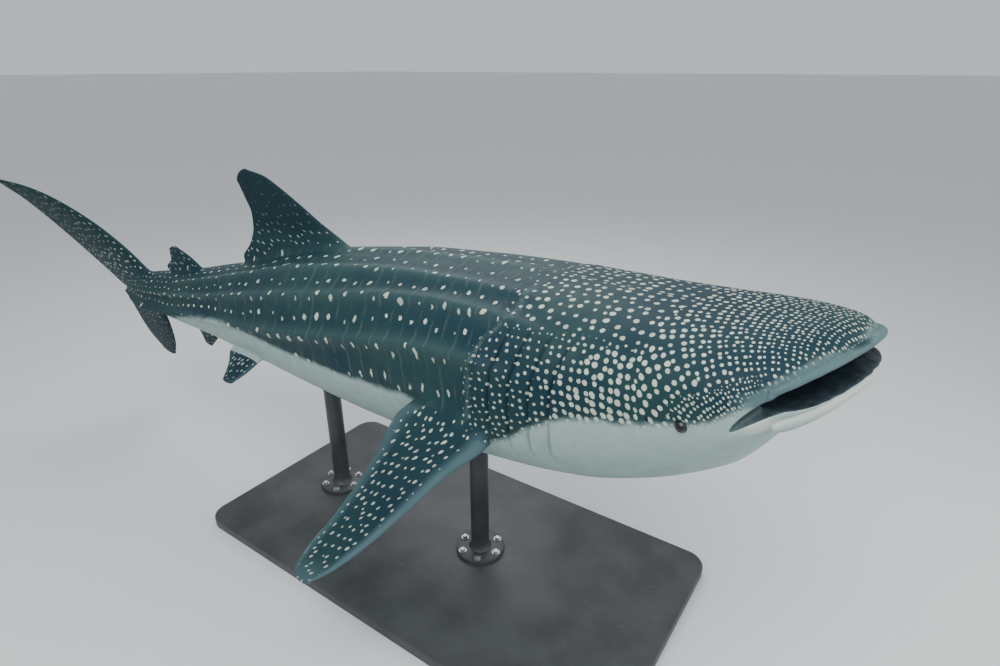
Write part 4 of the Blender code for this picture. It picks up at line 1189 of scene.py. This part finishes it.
def markFlank(mesh, at, head):
    # rows of spots along the flank, on the ridges' own lines
    last = ridges["lastColumns"]
    lines = [np.zeros(len(at.s)), *at.tracks, *(np.full(len(at.s), angle) for angle in last)]
    column = np.zeros(len(at.s))
    for low, high, wide in zip(lines, lines[1:], np.diff((0.0, *ridges["columns"], *last))):
        column += np.clip((at.angle - low) / (high - low), 0, 1) * wide
    count = 800
    fine = np.linspace(0, 1, count + 1)
    steps = np.interp(fine, markings["rowStepAt"], markings["rowStep"])
    runs = np.concatenate([[0], np.cumsum(span / count / ((steps[1:] + steps[:-1]) / 2))])
    rows = (column * at.side - markings["rowFirst"]) / markings["rowPitch"] + markings["rowMiddle"]
    setAttribute(mesh, "flankSpots", np.interp(at.s, fine, runs), rows, (1 - head) * (1 - at.finOnly))


def markFins(mesh, at, under, crest, lip):
    # each fin's spots are laid out along its own front edge
    count = len(at.s)
    u, v, size, paleEdge, dark, finZone = (np.zeros(count) for _ in range(6))
    for number, (name, mine, behind, outward, chordShare, spanShare, height) in enumerate(
        finPlaces(at.points, at.s, at.y, at.z)
    ):
        marks, fin = finMarks[name], at.fin[mine]
        finZone[mine] = 1.0
        long, wide = marks["cell"]
        u[mine] = behind * span / long + 40 * number  # the fins' cells lie far apart from each other
        v[mine] = (outward * span / wide + 20) * at.side[mine]
        rootSize, tipSize = marks["size"]
        clear = 1 - marks["edge"] * (1 - hill(*markings["finClear"], chordShare))
        size[mine] = (rootSize + (tipSize - rootSize) * spanShare) * clear * at.finOnly[mine]
        pale = smoothStep(*markings["paleBack"], chordShare)
        pale = markings["paleShare"] * np.maximum(pale, smoothStep(*markings["paleTip"], spanShare))
        pale = np.maximum(pale, 1 - smoothStep(*markings["paleFront"], chordShare))
        paleEdge[mine] = pale * marks["edge"] * fin
        dark[mine] = marks["dark"] * fin * smoothStep(*markings["finDarkens"], spanShare)
        most = markings["underMost"]
        flat = -height * markings["underSlope"] - markings["underStart"] if name in pairedFins else -most
        under[mine] = under[mine] * (1 - fin) + np.clip(flat, -most, most) * fin
    setAttribute(mesh, "finSpots", u, v, size)
    setAttribute(mesh, "tone", under, at.s, np.clip(crest, 0, 1) * (1 - at.fin))
    setAttribute(mesh, "shade", paleEdge, dark, lip)
    return finZone


def markSkin(obj):
    mesh = obj.data
    at = skinPlaces(pointsOf(mesh))
    s, y, z, angle = at.s, at.y, at.z, at.angle
    edge = smoothCurve(markings["edgeAt"], markings["edgeAngle"], np.clip(s, 0, shark["bodyEnd"]))
    under = at.arc - at.roundAt(edge)  # how far below the edge of the belly's colour, in metres
    markFlank(mesh, at, markHead(mesh, at, under))

    crest = np.zeros(len(s))
    for track, ends in zip(at.tracks, ridges["runs"]):
        crest += bump(angle - track, ridges["width"] * markings["crestWidth"]) * ridgeRun(ends, s)
    crest += bump(angle, markings["backCrest"]) * ridgeRun(ridges["backRun"], s)
    foldEdge = bump(s - at.fold, markings["foldEdge"]) * hill(*markings["foldEdgeAngles"], angle)
    jaw = mouth["lowerLip"]
    fromJaw = np.hypot(s - snoutEdge(y, jaw["setback"]), z - jaw["height"])
    jawLip = 1 - smoothStep(*markings["jawLipWidth"], fromJaw)
    jawLip *= 1 - smoothStep(*markings["jawLipEnds"], s)
    setAttribute(mesh, "edges", foldEdge * (1 - at.fin), jawLip, 0)

    under -= markings["edgeRise"] * smoothStep(*markings["edgeRiseRun"], s)
    below = (np.interp(np.abs(y), markings["lipAt"], markings["lipTop"]) - z) * span
    front = 1 - smoothStep(*markings["frontEnds"], s)
    under = under * (1 - front) + (below - markings["frontDrop"]) * front
    lip = smoothStep(*markings["lipEdge"], below) * (1 - smoothStep(*markings["lipEnds"], s))
    lip *= smoothStep(*markings["lipFloor"], z)
    finZone = markFins(mesh, at, under, crest, lip)

    # the map: across is 0 at the back, 1 at the belly's middle, and negative on the right side
    edgeArc, whole, belly = at.roundAt(edge), at.roundAt(np.full(len(s), 180.0)), skinMap["bellyRoom"]
    upper = at.arc / edgeArc * (1 - belly)
    lower = 1 - belly + (at.arc - edgeArc) / (whole - edgeArc) * belly
    length = np.where(at.length < 1, at.length ** skinMap["noseRoom"], 1 + s - skinMap["headEnds"])
    layMap(obj, np.where(at.arc < edgeArc, upper, lower) * at.side, length, s, at.out, finZone)


def skinPaint():
    paint = Paint("sharkSkin")
    under, _, crest = paint.parts(paint.attribute("tone"))
    paleEdge, dark, lip = paint.parts(paint.attribute("shade"))
    foldEdge, jawLip, _ = paint.parts(paint.attribute("edges"))
    finer, nape, napeSize = paint.parts(paint.attribute("regions"))
    drift, blotch, fine = (paint.grain(name) for name in ("drift", "blotch", "fine"))
    bend = paint.vectors("ADD", *(paint.wobble(*values) for values in bends))

    def spots(attribute, kind, share=1.0, scale=1.0):
        # round spots in loose cells, some smaller and fainter than others
        loose, least, spread, soft = spotKinds[kind]
        u, v, size = paint.parts(paint.attribute(attribute))
        flat = paint.add("ShaderNodeCombineXYZ", None, {0: u, 1: v})
        cell = paint.cells(paint.vectors("ADD", flat, bend), scale, loose)
        chance, other, _ = paint.parts(cell.of("Color"))
        size = size * share
        radius = (least + spread * chance) * size
        return (radius - cell).ramp(-soft, soft) * size.ramp(0.10, 0.26), other, size, u

    headSpot, headFaint, _, _ = spots("headSpots", "head", 1.0 - finer)
    fineSpot, fineFaint, _, _ = spots("headSpots", "fine", finer, markings["fineness"])
    gillSpot, gillFaint, gillSize, _ = spots("gillSpots", "gill", 1.0 - nape)
    napeSpot, napeFaint, _, _ = spots("gillSpots", "nape", napeSize, markings["napeCoarse"])
    flankSpot, flankFaint, flankSize, flankRun = spots("flankSpots", "flank")
    finSpot, finFaint, _, _ = spots("finSpots", "fin")
    spotted = (headSpot * (0.80 + 0.20 * headFaint)).most(fineSpot * (0.70 + 0.25 * fineFaint))
    spotted = spotted.most(gillSpot * (0.62 + 0.20 * gillFaint + 0.24 * (gillSize - 0.5).held()))
    spotted = spotted.most(napeSpot * (0.68 + 0.30 * napeFaint))
    spotted = spotted.most(flankSpot * (0.62 + 0.38 * flankFaint))
    spotted = spotted.most(finSpot * (0.60 + 0.38 * finFaint) * (1.0 - 0.72 * dark))
    steps = flankRun + 0.5 * drift
    bars = (1.0 - steps.maths("PINGPONG", steps, 0.5).ramp(0.03, 0.12)) * blotch.ramp(0.42, 0.62)

    # painted highlight: the ridges' crests and the last gill flap's edge are painted paler, mottled by the
    # fine noise
    crestHighlight = crest * (0.30 + 0.35 * fine) + foldEdge * fine.ramp(0.35, 0.6) * 0.9
    spot = paint.mix(fine.ramp(0.3, 0.7), colours["spot"], tint(colours["spot"], 0.82))
    belly = paint.mix(blotch.ramp(0.3, 0.7), colours["belly"], tint(colours["belly"], 0.88))
    colour = paint.layers(
        colours["darkBlue"],
        (drift.ramp(0.35, 0.65), colours["darkGreen"]),
        (blotch.ramp(0.4, 0.75) * 0.5, colours["dark"]),
        (dark, colours["finDark"]),
        (crestHighlight.held(), colours["crest"]),
        (paleEdge * (0.7 + 0.3 * blotch), colours["finEdge"]),
        ((spotted * 0.95).most(bars * flankSize * 0.05), spot),
        ((under + (drift - 0.5) * 0.05 + (blotch - 0.5) * 0.05).ramp(-0.022, 0.022), belly),
        (jawLip, colours["lowerLip"]),
        (lip * (0.80 + 0.20 * blotch), colours["lip"]),
    )
    relief = None
    scales = paint.cells(paint.place, skinRelief["scaleSize"], 1.0, "3D")
    for name, height in (("blotch", blotch), ("fine", fine), ("scales", scales)):
        relief = paint.relief(height, *skinRelief[name], relief)
    rough = 0.46 + 0.16 * blotch - 0.05 * spotted
    return paint.finish(Base_Color=colour, Roughness=rough, Normal=relief, Specular_IOR_Level=0.15)


def liningPaint():
    # the mouth's dark lining, which turns into pale skin where its corner's furrow runs out
    paint = Paint("mouthLining")
    back = paint.parts(paint.attribute("tone"))[1]
    lip = paint.parts(paint.attribute("shade"))[2]
    folds = paint.noise(paint.vectors("MULTIPLY", paint.place, (9.0, 9.0, 30.0)), 3.0, 4.0)
    fine = paint.grain("lining")
    corner = back.ramp(0.024, 0.043) * (1.0 - back.ramp(0.055, 0.060))
    colour = paint.layers(
        colours["lining"],
        (folds.ramp(0.35, 0.65), tint(colours["lining"], 0.6)),
        (corner * 0.75, colours["furrow"]),
        (lip * 0.5, colours["lip"]),
    )
    relief = paint.relief(folds, 0.010, 0.5, paint.relief(fine, 0.001, 0.3))
    rough = 0.36 + 0.15 * fine
    return paint.finish(Base_Color=colour, Roughness=rough, Normal=relief, Specular_IOR_Level=0.35)


def addPiece(name, work, paint, smoothBelow=None):
    mesh = bpy.data.meshes.new(name)
    bmesh.ops.recalc_face_normals(work, faces=work.faces)
    work.to_mesh(mesh)
    work.free()
    mesh.materials.append(paint)
    mesh.shade_smooth()
    if smoothBelow:
        mesh.set_sharp_from_angle(angle=radians(smoothBelow))
    return addObject(name, mesh)


# Angles off the gaze in radians, and how far the clear front swells.
eyeMarks = {
    "pupil": 0.52, "iris": 0.78, "swell": 0.02, "swellWidth": 0.5, "gazeAhead": 0.15,
    "black": (0.003, 0.003, 0.004), "rim": (0.016, 0.024, 0.028), "white": (0.012, 0.018, 0.020),
    "irisDark": (0.008, 0.009, 0.009), "irisPale": (0.024, 0.022, 0.018),
}


def makeEye(side, paint):
    s, _, radius = mouth["eye"]
    centre = Vector(eyeCentre(side, "eyeSunk"))
    work = bmesh.new()
    bmesh.ops.create_uvsphere(work, u_segments=48, v_segments=32, radius=radius * span)
    for vertex in work.verts:
        away = (vertex.co.normalized() - Vector((0, 0, 1))).length
        vertex.co *= 1 + eyeMarks["swell"] * bump(away, eyeMarks["swellWidth"])
    way = Vector(along(spine[3], s) * side + along(spine[2], s) * eyeMarks["gazeAhead"]).normalized()
    turn = way.to_track_quat("Z", "Y").to_matrix().to_4x4()
    bmesh.ops.transform(work, matrix=Matrix.Translation(centre) @ turn, verts=work.verts)
    obj = addPiece("eyeball_" + ("right" if side < 0 else "left"), work, paint)
    gaze = [(v.co - centre).normalized().angle(way) for v in obj.data.vertices]
    obj.data.attributes.new("gaze", "FLOAT", "POINT").data.foreach_set("value", gaze)
    return obj


def eyePaint():
    paint = Paint("sharkEye")
    gaze = paint.add("ShaderNodeAttribute", {"attribute_name": "gaze"}).of("Fac")
    pupil, iris = eyeMarks["pupil"], eyeMarks["iris"]
    flecked = paint.mix(paint.grain("flecks").ramp(0.3, 0.7), eyeMarks["irisDark"], eyeMarks["irisPale"])
    colour = paint.layers(
        eyeMarks["black"],
        (gaze.ramp(pupil - 0.03, pupil + 0.03), flecked),
        (gaze.ramp(iris - 0.03, iris + 0.04), eyeMarks["rim"]),
        (gaze.ramp(iris + 0.12, iris + 0.30), eyeMarks["white"]),
    )
    return paint.finish(
        Base_Color=colour, Roughness=0.16, Coat_Weight=0.35, Coat_Roughness=0.05, Specular_IOR_Level=0.3
    )


stand = {
    "base": (2.9, 1.5, 0.06), "corner": 0.12, "edge": 0.006,
    "rod": 0.055, "rodAt": {"stand_rod_front": 0.285, "stand_rod_rear": 0.475},
    "flange": 0.15, "flangeThick": 0.022, "chamfer": 0.0015, "flangeRound": 0.005,
    "collar": 1.30, "fillet": 0.26, "filletStart": 0.002, "filletHeight": 0.045, "curve": 2.2,
    "rodEnds": 0.05,
    "cup": 0.13, "cupHeight": 0.10, "cupRim": 0.028, "cupRound": 0.003, "cupSteps": (0.004, 0.001),
    "gap": 0.0003, "pad": 0.009,
    "cupShares": (0.93, 0.6, 0.25), "padShares": (0.25, 0.6, 0.90, 0.935), "padEdge": 0.945,
}


def standPlate(paint):
    long, wide, thick = stand["base"]
    corner = stand["corner"]
    outline = []
    for quarter, (sx, sy) in enumerate(((1, 1), (-1, 1), (-1, -1), (1, -1))):
        for step in range(13):
            a = pi / 2 * (quarter + step / 12)
            x, y = sx * (long / 2 - corner) + corner * cos(a), sy * (wide / 2 - corner) + corner * sin(a)
            outline.append((x, y))
    work = bmesh.new()
    face = work.faces.new([work.verts.new((x, y, 0.0)) for x, y in outline])
    top = bmesh.ops.extrude_face_region(work, geom=[face])["geom"]
    bmesh.ops.translate(work, vec=(0, 0, thick), verts=[v for v in top if isinstance(v, bmesh.types.BMVert)])
    bmesh.ops.recalc_face_normals(work, faces=work.faces)
    rims = [e for e in work.edges if abs(e.verts[0].co.z - e.verts[1].co.z) < 1e-6]
    bmesh.ops.bevel(work, geom=rims, offset=stand["edge"], segments=4, affect="EDGES", profile=0.5)
    return addPiece("stand_plate", work, paint, 30)


def turned(name, rings, paint):
    # a closed turned shape from rings of points, lowest first
    around = len(rings[0])
    work = bmesh.new()
    rows = [[work.verts.new(point) for point in ring] for ring in rings]
    for low, high in zip(rows, rows[1:]):
        for i in range(around):
            j = (i + 1) % around
            work.faces.new((low[i], low[j], high[j], high[i]))
    for row in (rows[0], rows[-1]):
        middle = work.verts.new(sum((v.co for v in row), Vector()) / around)
        for i in range(around):
            work.faces.new((row[i], row[(i + 1) % around], middle))
    return addPiece(name, work, paint, 35)


def flatRing(x, y, radius, z=0.0, around=64):
    angles = np.linspace(0, 2 * pi, around, endpoint=False)
    return [(x + radius * cos(a), y + radius * sin(a), z) for a in angles]


def standRod(node, tree, steel, rubberPad):
    x, y, _ = place(stand["rodAt"][node], 0.0, 0.0)

    def bellyRing(radius, drop, around=64):
        # a ring that lies a little below the belly over it
        return [(px, py, tree.ray_cast(Vector((px, py, 0.3)), Vector((0, 0, 1)))[0].z - drop)
                for px, py, _ in flatRing(x, y, radius, around=around)]

    rod, flange, cup, gap, curve = (stand[key] for key in ("rod", "flange", "cup", "gap", "curve"))
    low = min(point[2] for radius in (0.0, 0.06, cup) for point in bellyRing(radius, 0.0, 24))
    neck = low - stand["cupHeight"]
    foot = stand["base"][2] + gap
    top = foot + stand["flangeThick"]
    chamfer, soft, high = stand["chamfer"], stand["flangeRound"], stand["filletHeight"]
    profile = [(flange * 0.5, foot), (flange - chamfer, foot), (flange, foot + chamfer), (flange, top - soft),
               (flange - chamfer, top - chamfer), (flange - soft, top), (rod * stand["collar"], top)]
    for t in np.linspace(0, 1, 7):
        radius = rod * (1 + stand["fillet"] * (1 - t) ** curve)
        profile.append((radius, top + stand["filletStart"] + high * t))
    profile += [(rod, z) for z in np.linspace(top + stand["rodEnds"], neck - stand["rodEnds"], 6)]
    for t in np.linspace(0, 1, 14):
        rise = (low - stand["cupRim"] - neck + high) * t
        profile.append((rod + (cup - rod) * t**curve, neck - high + rise))
    lift, soft = stand["pad"] + gap * 4, stand["cupRound"]
    rings = [flatRing(x, y, radius, z) for radius, z in profile]
    outer, inner = stand["cupSteps"]
    rings += [bellyRing(cup, lift + outer), bellyRing(cup - soft, lift + inner)]
    rings += [bellyRing(cup * share, lift) for share in stand["cupShares"]]
    piece = turned(node.replace("stand_rod", "stand_post"), rings, steel)
    shares, edge = stand["padShares"], cup * stand["padEdge"]
    rings = [bellyRing(cup * share, lift - gap * 2) for share in shares]
    rings += [bellyRing(edge, lift - soft), bellyRing(edge, soft)]
    rings += [bellyRing(cup * share, gap * 2) for share in reversed(shares)]
    return piece, turned(node.replace("stand_rod", "cup_pad"), rings, rubberPad), (x, y, top)


bolts = {"count": 6, "circle": 0.118, "head": 0.0165, "height": 0.011, "washer": 0.024, "washerThick": 0.003}
boltShape = {"sides": 6, "washerSides": 32, "coneRadius": 0.82, "coneHeight": 0.22}  # cone in head sizes


def boltTree(paint):
    # a ring of hexagon bolts on washers round each point of the mesh
    tree = bpy.data.node_groups.new("flangeBolts", "GeometryNodeTree")

    def socket(name, kind, way="INPUT"):
        return tree.interface.new_socket(name, in_out=way, socket_type="NodeSocket" + kind)

    socket("Geometry", "Geometry")
    sockets = {name: socket(name, "Int" if name == "count" else "Float") for name in bolts}
    socket("Geometry", "Geometry", "OUTPUT")
    read, end = tree.nodes.new("NodeGroupInput").outputs, tree.nodes.new("NodeGroupOutput")

    def node(kind, links, **settings):
        made = tree.nodes.new(kind)
        for key, value in settings.items():
            setattr(made, key, value)
        for key, value in links.items():
            if isinstance(value, bpy.types.NodeSocket):
                tree.links.new(value, made.inputs[key])
            else:
                made.inputs[key].default_value = value
        return made.outputs[0]

    def maths(operation, a, b):
        return node("ShaderNodeMath", {0: a, 1: b}, operation=operation)

    def part(sides, height, lift, kind="Cylinder", **radii):
        radii = {key.replace("_", " "): value for key, value in radii.items()}
        shape = node("GeometryNodeMesh" + kind, {"Vertices": sides, "Depth": height, **radii})
        raised = node("ShaderNodeCombineXYZ", {"Z": lift})
        return node("GeometryNodeTransform", {"Geometry": shape, "Translation": raised})

    thick, head, height = read["washerThick"], read["head"], read["height"]
    sides = boltShape["sides"]
    washer = part(boltShape["washerSides"], thick, maths("MULTIPLY", thick, 0.5), Radius=read["washer"])
    hexagon = part(sides, height, maths("ADD", maths("MULTIPLY", height, 0.5), thick), Radius=head)
    coneTop = maths("MULTIPLY", head, boltShape["coneRadius"])
    coneHeight = maths("MULTIPLY", height, boltShape["coneHeight"])
    coneLift = maths("ADD", height, thick)
    cone = part(sides, coneHeight, coneLift, "Cone", Radius_Bottom=head, Radius_Top=coneTop)
    join = tree.nodes.new("GeometryNodeJoinGeometry")
    for shape in (washer, hexagon, cone):
        tree.links.new(shape, join.inputs[0])
    ring = node("GeometryNodeMeshCircle", {"Vertices": read["count"], "Radius": read["circle"]})
    onRing = node("GeometryNodeInstanceOnPoints", {"Points": ring, "Instance": join.outputs[0]})
    placed = node("GeometryNodeInstanceOnPoints", {"Points": read["Geometry"], "Instance": onRing})
    real = node("GeometryNodeRealizeInstances", {"Geometry": placed})
    tree.links.new(node("GeometryNodeSetMaterial", {"Geometry": real, "Material": paint}), end.inputs[0])
    return tree, sockets


def flangeBolts(places, paint):
    mesh = bpy.data.meshes.new("boltPlaces")
    mesh.from_pydata(places, [], [])
    obj = addObject("flange_bolts", mesh)
    tree, sockets = boltTree(paint)
    modifier = obj.modifiers.new("bolts", "NODES")
    modifier.node_group = tree
    for name, value in bolts.items():
        modifier[sockets[name].identifier] = value
    applyModifier(obj, modifier)
    return obj


# The darker and the paler colour that a smeared noise mixes, metal and roughness.
steels = {
    "standSteel": ((0.045, 0.048, 0.052), (0.070, 0.075, 0.080), 0.35, 0.34),
    "boltSteel": ((0.32, 0.33, 0.34), (0.42, 0.43, 0.44), 0.95, 0.22),
}
rubber = {"dark": (0.010, 0.010, 0.011), "pale": (0.022, 0.022, 0.023)}


def steelPaint(name):
    low, high, metal, rough = steels[name]
    paint = Paint(name)
    peel, smear, dust = (paint.grain(kind) for kind in ("peel", "smear", "dust"))
    dusty = (dust.ramp(0.58, 0.80) * 0.30, tint(high, 2.2))
    colour = paint.layers(low, (smear.ramp(0.3, 0.7), high), dusty)
    shine = rough + 0.16 * smear + 0.10 * dust
    relief = paint.relief(peel, 0.0006, 0.30)
    return paint.finish(Base_Color=colour, Roughness=shine, Metallic=metal, Normal=relief)


def rubberPaint():
    paint = Paint("cupRubber")
    grain = paint.grain("rubber")
    colour = paint.mix(grain, rubber["dark"], rubber["pale"])
    relief = paint.relief(grain, 0.0008, 0.4)
    return paint.finish(Base_Color=colour, Roughness=0.7 + 0.2 * grain, Normal=relief)


view = {"at": (2.067, -2.398, 2.831), "way": (-0.566, 0.824), "down": 23.3, "lens": 22.356, "sensor": 36}
room = {"floorSize": 500.0, "floor": (0.66, 0.68, 0.69), "air": (0.80, 0.85, 0.88), "airPower": 0.75}
lamps = {  # place, size and power; all are turned to the middle of the shark
    "key": ((1.5, -3.5, 6.5), 5.0, 400.0),
    "back": ((-3.0, 4.0, 6.0), 5.0, 200.0),
    "fill": ((5.0, 1.0, 3.0), 4.0, 90.0),
}
lampTarget = Vector((0, 0, 1.4))


def aim(obj, at, way):
    obj.location = at
    obj.rotation_euler = way.to_track_quat("-Z", "Y").to_euler()


def makeCamera():
    lens = bpy.data.cameras.new("camera")
    lens.sensor_width, lens.lens = view["sensor"], view["lens"]
    camera = addObject("camera", lens)
    down = radians(view["down"])
    aim(camera, view["at"], Vector((*(share * cos(down) for share in view["way"]), -sin(down))))
    bpy.context.scene.camera = camera


def makeRoom():
    world = bpy.data.worlds.new("room")
    world.use_nodes = True
    air = world.node_tree.nodes["Background"]
    air.inputs["Color"].default_value = (*room["air"], 1.0)
    air.inputs["Strength"].default_value = room["airPower"]
    bpy.context.scene.world = world
    bpy.ops.mesh.primitive_plane_add(size=room["floorSize"])
    floor = bpy.context.object
    floor.name = "floor"
    paint = Paint("paleFloor")
    colour = paint.mix(paint.grain("floor"), room["floor"], tint(room["floor"], 1.05))
    floor.data.materials.append(paint.finish(Base_Color=colour, Roughness=0.6))
    floor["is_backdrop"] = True
    for name, (at, size, power) in lamps.items():
        light = bpy.data.lights.new(name, "AREA")
        light.size, light.energy = size, power
        aim(addObject(name, light), at, lampTarget - Vector(at))


def settle(piece, slot, *nodes):
    if nodes:
        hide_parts(*nodes)
    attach(piece, "root")


makeCamera()
makeRoom()
print("camera and room made")

skin = makeSkin()
skin.name = "shark_skin"
workshop.objects.unlink(skin)
bpy.context.scene.collection.objects.link(skin)
markSkin(skin)
slots = readAll(skin.data.polygons, "material_index", kind=np.int32)
skin.data.materials.clear()
for paint in (skinPaint(), liningPaint()):
    skin.data.materials.append(paint)
skin.data.polygons.foreach_set("material_index", slots)
settle(skin, "spotted_skin", *(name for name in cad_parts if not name.startswith(("stand_", "eye_"))))
print("skin made", len(skin.data.vertices))

eyeCoat = eyePaint()
for side, node in ((-1, "eye_right"), (1, "eye_left")):
    settle(makeEye(side, eyeCoat), "eye", node)
print("eyes made")

skinTree = treeOf([skin])
blackSteel, boltSteel = (steelPaint(name) for name in steels)
cupRubber = rubberPaint()
settle(standPlate(blackSteel), "stand_paint", "stand_base")
footPlaces = []
for node in stand["rodAt"]:
    post, pad, foot = standRod(node, skinTree, blackSteel, cupRubber)
    settle(post, "stand_paint", node)
    settle(pad, "stand_paint")
    footPlaces.append(foot)
settle(flangeBolts(footPlaces, boltSteel), "stand_paint")
bpy.data.collections.remove(workshop)
print("stand made")

seen = {"cad": cadBox, "visual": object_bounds()}
{key: [[float(v) for v in corner] for corner in box] for key, box in seen.items()}
